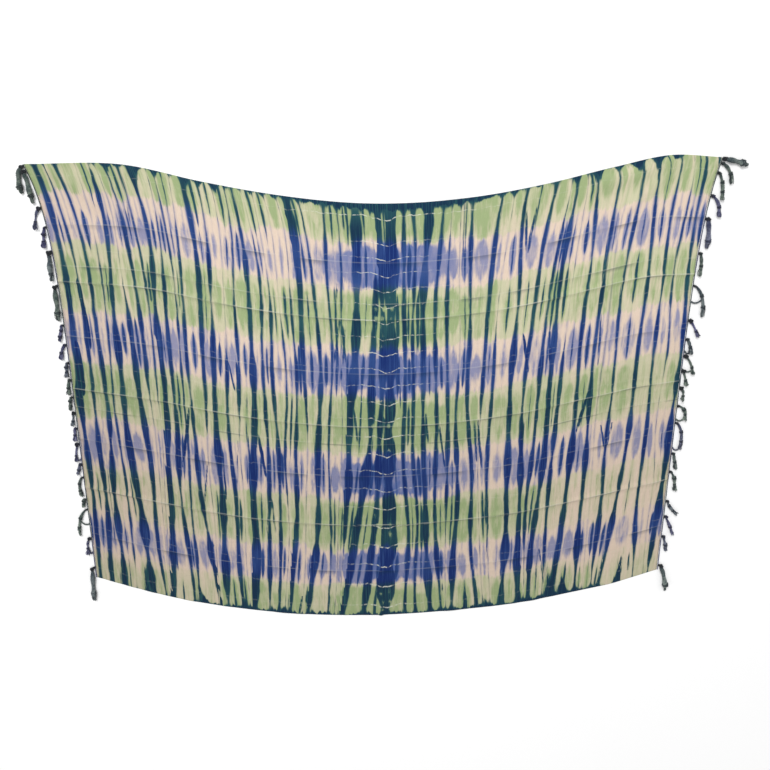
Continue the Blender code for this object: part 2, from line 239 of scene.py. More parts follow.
# Fine pale slashes where a sharp crease kept the dye off, a row for each: its two ends
Slash = namedtuple("Slash", "place down to_place to_down")
SLASHES = [Slash(*row) for row in (
    (419, 0.525, 434, 0.590), (507, 0.790, 497, 0.905), (-716, 0.945, -684, 0.982),
    (733, 0.990, 772, 0.968), (-648, 0.925, -640, 0.965),
)]

# Tassels, a row for each, as on the solids: how far down the edge its root is, how far its tip hangs
# below the root, how far out it is half way and at its tip, its form, and its tint, 0 dark green and 1
# navy
Tassel = namedtuple("Tassel", "down drop middle tip form tint")
LEFT_TASSELS = [Tassel(*row) for row in (
    (0.005, 0.066, 0.028, 0.037, "twist", 0.1), (0.016, 0.078, 0.013, 0.017, "twist", 0.1),
    (0.103, 0.054, 0.022, 0.029, "drop", 0.8), (0.150, 0.052, 0.014, 0.018, "knot", 1.0),
    (0.211, 0.074, 0.012, 0.014, "twist", 0.3), (0.296, 0.092, 0.010, 0.014, "twist", 0.1),
    (0.398, 0.043, 0.012, 0.018, "knot", 0.9), (0.450, 0.040, 0.016, 0.019, "cord", 0.9),
    (0.498, 0.038, 0.010, 0.011, "knot", 0.5), (0.545, 0.040, 0.011, 0.010, "cord", 0.1),
    (0.592, 0.036, 0.012, 0.010, "knot", 0.1), (0.636, 0.036, 0.010, 0.011, "drop", 0.4),
    (0.680, 0.036, 0.010, 0.010, "cord", 0.9), (0.724, 0.052, 0.013, 0.015, "drop", 0.9),
    (0.784, 0.030, 0.011, 0.014, "cord", 0.7), (0.822, 0.058, 0.016, 0.010, "knot", 0.1),
    (0.888, 0.022, 0.010, 0.010, "knot", 0.1), (0.918, 0.082, 0.027, 0.031, "knot", 0.1),
    (1.008, 0.048, 0.015, 0.011, "drop", 0.9), (1.100, 0.108, 0.012, 0.014, "twist", 0.3),
)]
RIGHT_TASSELS = [Tassel(*row) for row in (
    (0.004, 0.014, 0.036, 0.070, "twist", 0.2), (0.014, 0.050, 0.031, 0.043, "cord", 0.1),
    (0.036, 0.066, 0.022, 0.031, "knot", 0.1), (0.090, 0.053, 0.026, 0.034, "cord", 0.9),
    (0.145, 0.074, 0.016, 0.018, "twist", 0.7), (0.230, 0.058, 0.013, 0.011, "cord", 0.1),
    (0.311, 0.082, 0.030, 0.034, "knot", 0.3), (0.401, 0.044, 0.020, 0.032, "drop", 1.0),
    (0.451, 0.040, 0.015, 0.018, "cord", 0.3), (0.495, 0.050, 0.023, 0.032, "drop", 0.1),
    (0.536, 0.040, 0.013, 0.018, "drop", 0.1), (0.583, 0.034, 0.014, 0.010, "drop", 0.1),
    (0.632, 0.040, 0.024, 0.022, "knot", 0.1), (0.679, 0.078, 0.022, 0.020, "knot", 0.7),
    (0.768, 0.046, 0.012, 0.016, "cord", 0.2), (0.821, 0.056, 0.018, 0.020, "knot", 0.1),
    (0.909, 0.040, 0.014, 0.036, "knot", 0.4), (0.956, 0.056, 0.018, 0.032, "cord", 0.9),
    (1.018, 0.046, 0.013, 0.018, "cord", 0.6), (1.108, 0.084, 0.021, 0.030, "twist", 0.2),
)]

# Thin cords that loop from a tassel back to the edge, a row for each: the tassel's number from the top,
# from 0, the share along it where the cord starts, and how far down the edge it ends
Tie = namedtuple("Tie", "tassel share down")
LEFT_TIES = (Tie(13, 0.80, 0.766), Tie(17, 0.50, 0.962), Tie(18, 0.85, 1.050))
RIGHT_TIES = (
    Tie(6, 0.50, 0.352), Tie(8, 0.85, 0.480), Tie(9, 0.80, 0.530), Tie(12, 0.92, 0.668), Tie(13, 0.95, 0.750)
)

# How far such a cord sags, how high it lies, how far its plies lie from its middle, how long a turn of
# them is, and their radius. Its start is one of TIE_START_PLACES along the tassel
TIE_SAG, TIE_HEIGHT, TIE_PLY_OUT, TIE_LAY, TIE_YARN_RADIUS = 0.007, 0.0028, 0.0011, 0.009, 0.0013
TIE_START_PLACES = 40
TIE_RINGS = 24

# The half-width of a tassel in millimetres at places along it, from its root to its tip, a row for each
# form. Knots are the places of its knots, and tuft is where its yarns come loose. FULLNESS is a factor
# for them all.
TasselForm = namedtuple("TasselForm", "half_widths knots tuft")
FORM_PLACES = (0.0, 0.14, 0.28, 0.42, 0.56, 0.70, 0.84, 0.94, 1.0)
FORMS = {
    "cord": TasselForm((3.6, 3.0, 3.6, 3.8, 4.0, 4.6, 5.8, 6.4, 4.4), (0.10, 0.60), 0.62),
    "drop": TasselForm((3.8, 3.0, 3.4, 3.2, 2.4, 2.6, 6.4, 7.8, 5.0), (0.12, 0.70), 0.70),
    "knot": TasselForm((3.6, 2.8, 3.4, 4.4, 4.0, 3.4, 5.8, 6.6, 4.6), (0.40, 0.72), 0.74),
    "twist": TasselForm((4.2, 4.2, 5.4, 6.0, 6.0, 5.8, 6.4, 6.0, 4.2), (0.10, 0.76), 0.78),
}
FULLNESS = 1.08

# How far out of the cloth's edge a tassel's root is, how far its cord reaches back into the edge, and the
# least room between the two further down. A cord's plies make one turn in CORD_LAY, and it is FLATNESS
# times as high as wide
ROOT_OUT = 0.0043
ROOT_SINK = 0.0022
EDGE_CLEARANCE = 0.0008
CORD_LAY = 0.0125
FLATNESS = 0.75
YARNS_IN_TUFT = 20
YARN_RADIUS = 0.0010

# A cord's rings lie this far apart, and it has at least the first number of them and at most the second
RING_PITCH = 0.0014
RINGS = (30, 90)

# Knots, with the larger dark ones at the roots: the least radius, the turns of yarn and how pale they are
Knot = namedtuple("Knot", "smallest turns worn")
ROOT_KNOT, KNOT = Knot(0.0044, 4, 0.0), Knot(0.0032, 3, 0.12)
KNOT_TURN_PITCH = 0.0019
WINDING_RADIUS = 0.0012

# The bound edge: how far out and how high its cord lies, how far its plies lie from the cord's middle,
# and how long a turn of them is
EDGE_OUT, EDGE_HEIGHT, EDGE_PLY_OUT, EDGE_LAY = 0.0020, 0.0019, 0.0006, 0.008
EDGE_RINGS = 260

# The two fringes: the piece, the CAD node that it replaces, its side, the place across, its tassels and
# ties
FRINGES = (
    ("left_tassels", "fringe_left", LEFT_SIDE, 0, LEFT_TASSELS, LEFT_TIES),
    ("right_tassels", "fringe_right", RIGHT_SIDE, 1, RIGHT_TASSELS, RIGHT_TIES),
)


# Curves and noise


def rise(place, start, end):
    """0 at start and before it, 1 at end and beyond it. It falls where end comes first."""
    return np.clip((place - start) / (end - start), 0, 1)


def bell(place, middle, reach):
    """A bell curve: 1 at the middle, and 0.37 at reach to either side of it."""
    return np.exp(-(((place - middle) / reach) ** 2))


def ridge(distance, half_width):
    """A soft ridge's share of its height at a distance from its crest, down to 0 at half_width."""
    return np.clip(1 - (np.abs(distance) / half_width) ** 2, 0, 1) ** 2


def wave_noise(place, wavelength, seed):
    """Smooth noise of about unit size along a line: five sines of nearby wavelengths with seeded phases."""
    draw = np.random.default_rng(seed)
    total = np.zeros(np.shape(place))
    for _ in range(5):
        frequency = draw.uniform(0.5, 1.6) / wavelength
        total += np.sin(2 * np.pi * (frequency * np.asarray(place) + draw.uniform()))
    return total / np.sqrt(2.5)


def noise_columns(place, wavelength, seed, count):
    """Wave noise at each place, in a column for each of count seeds from this one on."""
    return np.stack([wave_noise(place, wavelength, seed + number) for number in range(count)], axis=-1)


def patches(place, wavelength, seed, middle, swing, most):
    """How much of something shows along a line: middle, more or less by swing, from none to most."""
    return np.clip(middle + swing * wave_noise(place, wavelength, seed), 0, most)


def from_segment(points, start, end):
    """How far each point lies from a straight segment, and the share of the segment that it lies beside."""
    along = end - start
    share = np.clip((points - start) @ along / (along @ along), 0, 1)
    return np.linalg.norm(points - start - share[..., None] * along, axis=-1), share


def smooth_curve(at, value, places):
    """A smooth curve that has each value at its own at, read at the places.

    Between two values it is a cubic, with the slopes that np.gradient finds at both.
    """
    slope = np.gradient(value, at)
    span = np.clip(np.searchsorted(at, places, side="right") - 1, 0, len(at) - 2)
    width = at[span + 1] - at[span]
    t = (places - at[span]) / width
    return (
        value[span] * (1 + 2 * t) * (1 - t) ** 2
        + value[span + 1] * t**2 * (3 - 2 * t)
        + width * slope[span] * t * (1 - t) ** 2
        - width * slope[span + 1] * t**2 * (1 - t)
    )


# Shape of the cloth


def edge_y(edge, across):
    """The drawing frame's y of the upper or lower edge, on a smooth curve through the rows of EDGES."""
    at = np.array([row.across for row in EDGES])
    value = np.array([getattr(row, edge) for row in EDGES])
    return smooth_curve(at, value, np.asarray(across, float))


def side_x(side, down):
    """A side edge's x: its straight line, plus the flare, which dies away exponentially down the cloth."""
    return side.x + side.flare * np.exp(-np.asarray(down, float) / side.flare_depth)


def drawing_to_row():
    """The shift from the drawing frame to the row frame, from the cloth's upper left corner and its top."""
    low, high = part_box("cloth_panel")
    top = edge_y("upper", np.linspace(0, 1, OUTLINE_PLACES)).max()
    return np.array([low[0] - (LEFT_SIDE.x + LEFT_SIDE.flare), high[1] - top])


DRAWING_TO_ROW = drawing_to_row()


def cloth_point(across, down):
    """The place in the row frame of the cloth's point at across and down, seen from above.

    x goes evenly from one side edge to the other, and y evenly from the upper edge to the lower one.
    """
    left, right = side_x(LEFT_SIDE, down), side_x(RIGHT_SIDE, down)
    upper, lower = edge_y("upper", across), edge_y("lower", across)
    x = left + across * (right - left) + DRAWING_TO_ROW[0]
    y = upper + down * (lower - upper) + DRAWING_TO_ROW[1]
    return x, y


def fold_lift(across, down):
    """How far the folds lift the cloth off the surface: the highest of the folds at each point.

    The packing folds run level across the cloth and end in a sharp crest, the fine ones beside them come and
    go along their length, and the drag folds run out from where the cloth was held.
    """
    lift = np.zeros(np.shape(across))
    for number, fold in enumerate(PACKING_FOLDS_DOWN):
        distance = (down - fold) * CUT_HEIGHT
        crest = CREST_HEIGHT * patches(across, 0.25, CREST_SEED + number, middle=0.7, swing=0.5, most=1.2)
        height = PACKING_FOLD_HEIGHT * ridge(distance, FOLD_HALF_WIDTH)
        lift = np.maximum(lift, height + crest * ridge(distance, CREST_HALF_WIDTH))
    for number, fold in enumerate(FINE_FOLDS_DOWN):
        shown = patches(across, 0.4, FINE_FOLD_SEED + number, middle=0.5, swing=1.0, most=1.4)
        height = FINE_FOLD_HEIGHT * shown * ridge((down - fold) * CUT_HEIGHT, CREST_HALF_WIDTH)
        lift = np.maximum(lift, height)
    share = ridge((across - CENTRE_FOLD_ACROSS) * CUT_WIDTH, FOLD_HALF_WIDTH)
    lift = np.maximum(lift, CENTRE_FOLD_HEIGHT * share * rise(down, *CENTRE_FOLD_RISE))
    points = np.stack([across, down], axis=-1) * CUT
    for fold in DRAG_FOLDS:
        start, end = np.array([fold.across, fold.down]), np.array([fold.to_across, fold.to_down])
        distance, _ = from_segment(points, start * CUT, end * CUT)
        lift = np.maximum(lift, fold.height * ridge(distance, fold.half_width))
    return lift


def slack(across, down, height):
    """Low slack in the cloth: long waves down its length that drift sideways and fade in and out.

    Each wave is a sine across the cloth whose phase follows smooth noise down it, cut off below zero, so the
    troughs rest flat.
    """
    x, y = across * CUT_WIDTH, down * CUT_HEIGHT
    total = np.zeros(np.shape(across))
    for number, wavelength in enumerate(SLACK_WAVELENGTHS):
        phase = x / wavelength + 0.35 * wave_noise(y, 0.5, DRIFT_SEED + number)
        fade = 0.6 + 0.4 * wave_noise(y + 0.7 * x, 0.45, FADE_SEED + number)
        total += fade * np.sin(2 * np.pi * phase) * wavelength
    return height * np.clip(total / SLACK_WAVELENGTHS[0], 0, None)


# Dye pattern. Beside is the distance from the pattern's fold line in metres, negative to its left


def hook(beside, down):
    """How far the streaks near the upper right corner stand to the left, where the cloth was bunched."""
    return -0.024 * bell(beside, 0.60, 0.1414) * np.exp(-down / 0.016)


def fan(beside, down):
    """How far leaning streaks stand outwards in the lower half, most at FAN_REACH from the fold line."""
    outwards = beside / FAN_REACH * np.exp(1 - np.abs(beside) / FAN_REACH)
    return 0.038 * outwards * rise(down, 0.50, 1.0) ** 1.6


def main_streaks():
    """The main streaks from left to right, as one array for each column of Streaks.

    Where two charted streaks lie far apart, faint ones come between them, at seeded places.
    """
    draw = np.random.default_rng(PATTERN_SEED)
    charted = [np.array([*streak, min(1.0, 0.8 + 0.08 * streak.middle_half)]) for streak in STREAKS]
    rows = charted[:1]
    for left, right in zip(charted, charted[1:]):
        count = int((right[:3] - left[:3]).min() / FAINT_PITCH)
        for number in range(1, count):
            share = (number + draw.uniform(-0.2, 0.2)) / count
            places = (left + share * (right - left))[:3]
            halves = [draw.uniform(0.5, 1.9)] * 3
            ends = draw.uniform(-0.2, 0.5), draw.uniform(0.5, 1.2)
            rows.append(np.array([*places, *halves, *ends, 0.4, draw.uniform(0.35, 0.85)]))
        rows.append(right)
    return Streaks(*np.array(rows).T)


def streak_centres(streaks, down):
    """Where each streak's centre is at each place down, in metres, as an array of (places, streaks).

    It lies on a parabola through its three charted places, and wanders by a few millimetres.
    """
    t = ((down - STREAK_LEVELS[1]) / (STREAK_LEVELS[2] - STREAK_LEVELS[1]))[:, None]
    bend = (streaks.upper + streaks.lower) / 2 - streaks.middle
    place = (streaks.middle + (streaks.lower - streaks.upper) / 2 * t + bend * t**2) * MILLIMETRE
    wander = noise_columns(down, 0.50, WANDER_SEED, len(bend))
    room = np.minimum(np.diff(place, axis=1, prepend=-1.0), np.diff(place, axis=1, append=1.0))
    return place + hook(place, down[:, None]) + np.clip(0.10 * room, 0, 0.0026) * wander


def streak_half_widths(streaks, down):
    """Each streak's half-width in metres at each place down, between its charted ones, a little uneven."""
    halves = zip(streaks.upper_half, streaks.middle_half, streaks.lower_half)
    half = np.stack([np.interp(down, STREAK_LEVELS, row) for row in halves], axis=-1)
    uneven = noise_columns(down, 0.17, UNEVEN_SEED, half.shape[1])
    return 1.01 * half * (1 + 0.26 * uneven) * MILLIMETRE


def streak_width_and_depth(streaks, nearer, down):
    """The half-width in metres of the main streak of each point's number, and how dark it is, from 0 to 1.

    It is wider in the blue bands. At an end inside the cloth it tapers to a point, and beyond that its
    half-width is below zero.
    """
    rows = np.arange(len(down))[:, None]
    blueness = np.zeros(np.shape(down))
    for start, end in zip(BAND_EDGES[::2], BAND_EDGES[1::2]):
        blueness += np.clip(1 - ((down - (start + end) / 2) / (0.55 * (end - start))) ** 2, 0, 1)
    lower_half = rise(down, 0.25, 0.65)
    swell = streaks.swell[nearer] * (0.22 + 0.48 * lower_half) * (blueness - 0.50)
    width = streak_half_widths(streaks, down[:, 0])[rows, nearer] * (1 + swell)
    start, end = streaks.start[nearer], streaks.end[nearer]
    inside = np.clip(np.minimum(down - start, end - down) / STREAK_TAPER + 0.3, -0.6, 1)
    taper = np.where((start > 0) | (end < 1), inside, 1)
    width = width * np.sqrt(np.clip(taper, 0, 1)) - BLEED * MILLIMETRE * np.clip(-taper, 0, 1)
    fading = noise_columns(down[:, 0], 0.21, DEPTH_SEED, len(streaks.start))[rows, nearer]
    return width, streaks.strength[nearer] * np.clip(0.72 + 0.18 * lower_half + 0.13 * fading, 0, 1)


def crossing_streaks():
    """Thin streaks that lean across the lanes: those charted in LEANING, and then seeded ones.

    Most of the seeded ones come in pairs that meet in a point, as creases in tied cloth do, and open upwards
    or downwards. Each is a row like those in LEANING, with metres for millimetres, and then how dark it is.
    """
    draw = np.random.default_rng(PATTERN_SEED + 2)
    units = (MILLIMETRE, 1, MILLIMETRE, 1, MILLIMETRE)
    rows = [(*(np.array(row) * units), 1.0) for row in LEANING]
    for _ in range(CROSSING_PAIRS):
        apex = draw.uniform(-0.74, 0.60)
        apex_down = draw.uniform(0.08, 0.97)
        length = draw.uniform(0.07, 0.20) * draw.choice([-1, 1])
        half_width = draw.uniform(1.3, 2.8) * MILLIMETRE
        for hand in (-1, 1):
            if draw.uniform() < 0.3:
                continue
            foot = apex + hand * draw.uniform(0.007, 0.022)
            rows.append((apex, apex_down, foot, apex_down + length, half_width, draw.uniform(0.6, 1.0)))
    for _ in range(CROSSING_SINGLES):
        place, start = draw.uniform(-0.80, 0.76), draw.uniform(-0.05, 0.95)
        end = start + draw.uniform(0.06, 0.26)
        half_width = draw.uniform(0.9, 2.0) * MILLIMETRE
        rows.append((place, start, place + draw.normal(0, 0.006), end, half_width, draw.uniform(0.3, 0.8)))
    return rows


def nearest_crossing(beside, down):
    """Millimetres outside the nearest crossing streak, which is pointed at both ends, and its strength."""
    nearest = np.full(np.shape(beside), FAR_AWAY)
    strength = np.zeros(np.shape(beside))
    for start, start_down, end, end_down, half_width, dark in crossing_streaks():
        t = (down - start_down) / (end_down - start_down)
        centre = start + np.clip(t, 0, 1) * (end - start)
        centre = centre + fan(centre, down)
        taper = np.sqrt(np.clip(4 * t * (1 - t), 0, 1))
        distance = (np.abs(beside - centre) - half_width * taper) / MILLIMETRE + FAR_AWAY * (1 - taper) ** 3
        strength = np.where(distance < nearest, dark, strength)
        nearest = np.minimum(nearest, distance)
    return nearest, strength


def outside_wedges(beside, inwards, wedges):
    """Millimetres outside the nearest wedge, measured along the edge, at inwards metres from it.

    A wedge narrows to its tip, with hollow sides.
    """
    nearest = np.full(np.shape(beside), FAR_AWAY)
    for wedge in wedges:
        share = inwards / MILLIMETRE / wedge.height
        half_width = (wedge.half_width + BLEED) * np.clip(1 - share, 0, 1) ** 1.4 - BLEED
        distance = np.abs(beside / MILLIMETRE - wedge.foot - share * (wedge.tip - wedge.foot)) - half_width
        nearest = np.minimum(nearest, distance + 20 * rise(share, 1, 2))
    return nearest


def outside_slashes(beside, down):
    """Millimetres from the nearest pale slash."""
    nearest = np.full(np.shape(beside), FAR_AWAY)
    height = CUT_HEIGHT / MILLIMETRE
    points = np.stack([beside / MILLIMETRE, down * height], axis=-1)
    for slash in SLASHES:
        start, end = (np.array([place, level * height]) for place, level in (slash[:2], slash[2:]))
        distance, share = from_segment(points, start, end)
        nearest = np.minimum(nearest, distance + 1.5 * (2 * share - 1) ** 2)
    return nearest


def from_borders(beside, down):
    """Millimetres from the dark upper and lower borders and their wedges, below zero in them.

    The upper border is thick near the fold line and thin towards the corners, and the lower one is ragged.
    """
    upper = -1.5 + 9 * bell(beside, 0.06, 0.40) + 9 * bell(beside, 0.03, 0.16)
    upper = upper + 3.5 * np.clip(wave_noise(beside, 0.035, UPPER_BORDER_SEED), -0.6, 1.4)
    upper = upper - 6 * rise(beside, 0.20, 0.40) - 12 * (beside > 0.70) - 6 * rise(beside, -0.18, -0.38)
    ragged = 4 * np.abs(wave_noise(beside, 0.010, RAGGED_SEED))
    ragged = ragged + 3 * wave_noise(beside, 0.14, LOWER_BORDER_SEED)
    lower = 8 + ragged + 4 * bell(beside, 0.44, 0.14) - 4 * bell(beside, -0.13, 0.10)
    lower = -8 + lower * rise(beside, -0.56, -0.51) * rise(beside, 0.65, 0.61)
    nearest = FAR_AWAY
    for inwards, border, wedges in ((down, upper, UPPER_WEDGES), (1 - down, lower, WEDGES)):
        inwards = inwards * CUT_HEIGHT
        nearest = np.minimum(nearest, outside_wedges(beside, inwards, wedges))
        nearest = np.minimum(nearest, inwards / MILLIMETRE - border)
    return nearest


def lane_tables(lane, columns, step, *ranges):
    """Seeded random numbers for each point's lane, one for each column, and a table for each range."""
    tables = []
    for number, (low, high) in enumerate(ranges):
        draw = np.random.default_rng(PATTERN_SEED + step + number)
        tables.append(draw.uniform(low, high, (lane.max() + 1, columns))[lane])
    return tables


def into_green(beside, down, lane, u):
    """Millimetres into a green band, below zero in a blue one. u is -1 and 1 at the lane's two sides.

    The bands' edges wander, and shift from lane to lane. A green band's lower end is a finger in each lane.
    The uppermost blue band lies higher towards the left side.
    """
    finger, shift = lane_tables(lane, len(BAND_EDGES), 3, (3, 16), (-6, 6))
    nearest = np.full(np.shape(down), np.inf)
    passed = np.zeros(np.shape(down), int)
    for number, edge in enumerate(BAND_EDGES):
        drop = finger[..., number] * (1 - u**2) if number % 2 == 0 else 0
        tilt = -0.026 * rise(beside, 0, -0.8) if number < 2 else 0
        from_edge = (down - edge - tilt) * CUT_HEIGHT / MILLIMETRE - drop - shift[..., number]
        from_edge = from_edge - 3 * wave_noise(beside, 0.30, BAND_SEED + number)
        nearest = np.minimum(nearest, np.abs(from_edge))
        passed += from_edge > 0
    return np.where(passed % 2 == 0, nearest, -nearest)


def lane_dye(beside, down, lane, span, u):
    """How strongly the lanes' middles are dyed in green and in blue bands, and the half-width of their cores.

    The dyed middle is an oval in each lane and band. A core is the thin streak down it, in millimetres.
    """
    ends = (-0.06, *BAND_EDGES, 1.06)
    ranges = (0.3, 1.4), (0.0, 1.0), (0.75, 1.12), (-0.12, 0.12), (-5.5, 3.6)
    strength, breadth, length, slip, cored = lane_tables(lane, len(ends) - 1, 5, *ranges)
    tones = np.zeros((2, *np.shape(down)))
    core = np.full(np.shape(down), -BLEED)
    near_fold_line = bell(beside, 0.01, 0.13)
    upper_right = rise(beside, -0.2, 0.2) * rise(down, 0.875, 0.25)
    for number, (start, end) in enumerate(zip(ends[:-1], ends[1:])):
        is_blue = number % 2
        look = BAND_LOOKS[is_blue]
        half = (end - start) / 2
        middle = start + half * look.middle + slip[..., number] * half
        v = (down - middle) / (half * length[..., number] * look.length)
        wide = look.narrow + look.spread * breadth[..., number] + 1.6 * near_fold_line
        oval = np.clip(1 - (u / wide) ** 2 - np.abs(v) ** np.where(v < 0, look.upper_end, LOWER_END), 0, 1)
        full = np.clip(strength[..., number] + 0.7 * near_fold_line + 0.35 * is_blue * upper_right, 0, 1)
        full = full + 0.9 * near_fold_line * is_blue
        tones[is_blue] = np.maximum(tones[is_blue], full * np.clip(1.6 * oval, 0, 1))
        size = cored[..., number] + look.core + 2.0 * near_fold_line
        spindle = (size + BLEED) * np.sqrt(np.clip(1 - (v / 1.05) ** 2, 0, 1)) - BLEED
        core = np.where((size > 0) & (span > NARROWEST_CORED), np.maximum(core, spindle), core)
    return tones, core


def kept_clear(beside, down):
    """How much of the dye was kept off by the ties, at a few spots beside the fold line, from 0 to 1."""
    draw = np.random.default_rng(PATTERN_SEED + 10)
    clear = np.zeros(np.shape(beside))
    for middle in np.arange(0.205, 1.0, 0.021):
        for place in (-0.026, -0.008, 0.014):
            size = draw.uniform(0.3, 1.0) * (draw.uniform() < 0.55)
            spot = size * bell(beside, place + draw.normal(0, 0.003), 0.0065)
            clear = np.maximum(clear, spot * bell(down, middle, 0.0085 / CUT_HEIGHT))
    return clear


def dye_fields(across, down):
    """The fields that the cloth's colours are worked out from, one value for each point of the grid.

    A lane is the cloth between two main streaks.
    lane: the number of main streaks to the left, plus the share of the lane that is passed.
    span: the lane's width in millimetres.
    width: the half-width in millimetres of the nearer main streak, below zero where it has ended.
    depth: how dark that streak is, from 0 to 1.
    core: the half-width in millimetres of the thin streak down the lane's middle, or below zero.
    crossing, crossing_depth: millimetres outside the nearest crossing streak, and how dark it is.
    border: millimetres from the dark upper and lower borders, below zero in them.
    band: millimetres into a green band, below zero in a blue one.
    streak_band: the same, less far from the fold line, where the streaks change colour more slowly.
    green_tone, blue_tone: how strongly the lane's middle is dyed in green and in blue bands, from 0 to 1.
    clear: how much of the dye was kept off, at a few spots beside the fold line, from 0 to 1.
    bare: how little the green bands' ground is dyed, from 0 to 1, most at both sides of the lower part.
    filled: how far the lanes near the fold line are filled with blue in the blue bands, from 0 to 1.
    slash: millimetres from the nearest pale slash.
    """
    beside = (across - FOLD_LINE_ACROSS) * CUT_WIDTH
    streaks = main_streaks()
    centres = streak_centres(streaks, down[:, 0])
    lane = (beside[:, :, None] > centres[:, None, :]).sum(axis=-1)
    sides = np.hstack([centres[:, :1] - OUTER_LANE, centres, centres[:, -1:] + OUTER_LANE])
    rows = np.arange(len(down))[:, None]
    span = sides[rows, lane + 1] - sides[rows, lane]
    passed = (beside - sides[rows, lane]) / span
    u = 2 * passed - 1
    nearer = np.clip(lane - (passed < 0.5), 0, centres.shape[1] - 1)
    width, depth = streak_width_and_depth(streaks, nearer, down)
    band = into_green(beside, down, lane, u)
    tones, core = lane_dye(beside, down, lane, span, u)
    away = rise(np.abs(beside), 0, 0.8)
    bare = rise(np.abs(beside + 0.04), 0.36, 0.58) * rise(down, 0.62, 0.74)
    bare = bare * (1 - 0.7 * rise(down, 0.925, 0.965))
    tones[0] *= (1 - 0.45 * away * rise(down, 0, 5 / 6)) * (1 - 0.5 * bare)
    crossing, crossing_depth = nearest_crossing(beside, down)
    return {
        "lane": lane + passed,
        "span": span / MILLIMETRE,
        "width": width / MILLIMETRE,
        "depth": depth,
        "core": core,
        "crossing": crossing,
        "crossing_depth": crossing_depth,
        "border": from_borders(beside, down),
        "band": band,
        "streak_band": band / (1 + 1.8 * np.abs(beside) / 0.8),
        "green_tone": tones[0],
        "blue_tone": tones[1],
        "clear": kept_clear(beside, down),
        "bare": bare,
        "filled": bell(beside, 0.02, 0.15),
        "slash": outside_slashes(beside, down),
    }


def crease_fields(across, down):
    """Two more fields, from 0 to 1, which come and go along each fold.

    crease: how pale the dye has faded on the folds' crests.
    crease_shade: how dark the painted shadow is just below them.
    """
    worn, shade = np.zeros((2, *np.shape(across)))
    for number, fold in enumerate(PACKING_FOLDS_DOWN + FINE_FOLDS_DOWN):
        distance = (down - fold) * CUT_HEIGHT
        crest = rise(np.abs(distance), WORN_REACH, 0) * (1.0 if fold in PACKING_FOLDS_DOWN else 0.45)
        worn = np.maximum(worn, crest * patches(across, 0.12, WORN_SEED + number, 0.65, 0.5, 1))
        # Painted shadow just below each crest, where the raised fold would shade the cloth
        below = rise(np.abs(distance - SHADE_REACH), SHADE_REACH, 0)
        shade = np.maximum(shade, below * patches(across, 0.13, SHADE_SEED + number, 0, 1, 1))
    return {"crease": worn, "crease_shade": shade}


# Mesh helpers


def mesh_object(name, points, faces, loop_uv, fields):
    """A smooth-shaded mesh object at the origin, from points, faces and one UV pair for each face corner.

    Each of the fields is a name and a number for each point.
    """
    data = bpy.data.meshes.new(name)
    data.from_pydata(points, [], faces)
    data.uv_layers.new(name="UVMap")
    data.uv_layers["UVMap"].data.foreach_set("uv", np.ravel(loop_uv).astype(np.float32))
    for field, values in fields.items():
        layer = data.attributes.new(field, "FLOAT", "POINT")
        layer.data.foreach_set("value", np.ravel(values).astype(np.float32))
    data.shade_smooth()
    data.update()
    thing = bpy.data.objects.new(name, data)
    bpy.context.scene.collection.objects.link(thing)
    return thing


def grid_faces(rows, columns, wrap=False):
    """The corners of a grid's faces, its points in rows. wrap joins its last column to its first."""
    last = columns if wrap else columns - 1
    row, column = np.meshgrid(np.arange(rows - 1), np.arange(last), indexing="ij")
    beyond = (column + 1) % columns
    corners = (row, column), (row + 1, column), (row + 1, beyond), (row, beyond)
    return np.stack([down * columns + across for down, across in corners], axis=-1).reshape(-1, 4)


# Shader helpers


class Value:
    """The output of a shader node. Arithmetic with it adds Math nodes to the same tree."""

    def __init__(self, socket):
        self.socket = socket
        self.tree = socket.id_data

    def math(self, operation, *others):
        """What a Math node makes of this value and the others."""
        inputs = dict(enumerate((self, *others)))
        return Value(add_node(self.tree, "ShaderNodeMath", operation=operation, inputs=inputs).outputs[0])

    def __add__(self, other):
        return self.math("ADD", other)

    def __sub__(self, other):
        return self.math("SUBTRACT", other)

    def __rsub__(self, other):
        return self.math("MULTIPLY_ADD", -1.0, other)

    def __mul__(self, other):
        return self.math("MULTIPLY", other)

    def __truediv__(self, other):
        return self.math("DIVIDE", other)

    def __abs__(self):
        return self.math("ABSOLUTE")


def link(value, node, name):
    """Links a value to a node's input."""
    value.tree.links.new(value.socket, node.inputs[name])


def add_node(tree, kind, **settings):
    """A new node of this kind. settings sets its properties, and inputs, a dictionary, its sockets."""
    node = tree.nodes.new(kind)
    inputs = settings.pop("inputs", {})
    for name, value in settings.items():
        setattr(node, name, value)
    for name, value in inputs.items():
        if isinstance(value, Value):
            link(value, node, name)
        else:
            node.inputs[name].default_value = value
    return node


def ramp(value, start, end, to_start=0.0, to_end=1.0):
    """value taken smoothly from the range start to end onto the range to_start to to_end, and held there."""
    inputs = {"Value": value, "From Min": start, "From Max": end, "To Min": to_start, "To Max": to_end}
    node = add_node(value.tree, "ShaderNodeMapRange", interpolation_type="SMOOTHSTEP", inputs=inputs)
    return Value(node.outputs["Result"])


def falloff(distance, reach):
    """A bell curve: 1 where the distance is 0, and 0.37 where it is reach."""
    share = distance / reach
    return (share * share * -1.0).math("EXPONENT")


def mix(factor, first, second, blend="MIX"):
    """One colour mixed over another by factor, which is held between 0 and 1."""
    tree = next(value.tree for value in (factor, first, second) if isinstance(value, Value))
    inputs = {0: factor}
    for place, colour in ((6, first), (7, second)):
        inputs[place] = colour if isinstance(colour, Value) else (*colour[:3], 1.0)
    settings = {"data_type": "RGBA", "blend_type": blend, "clamp_factor": True}
    return Value(add_node(tree, "ShaderNodeMix", **settings, inputs=inputs).outputs[2])


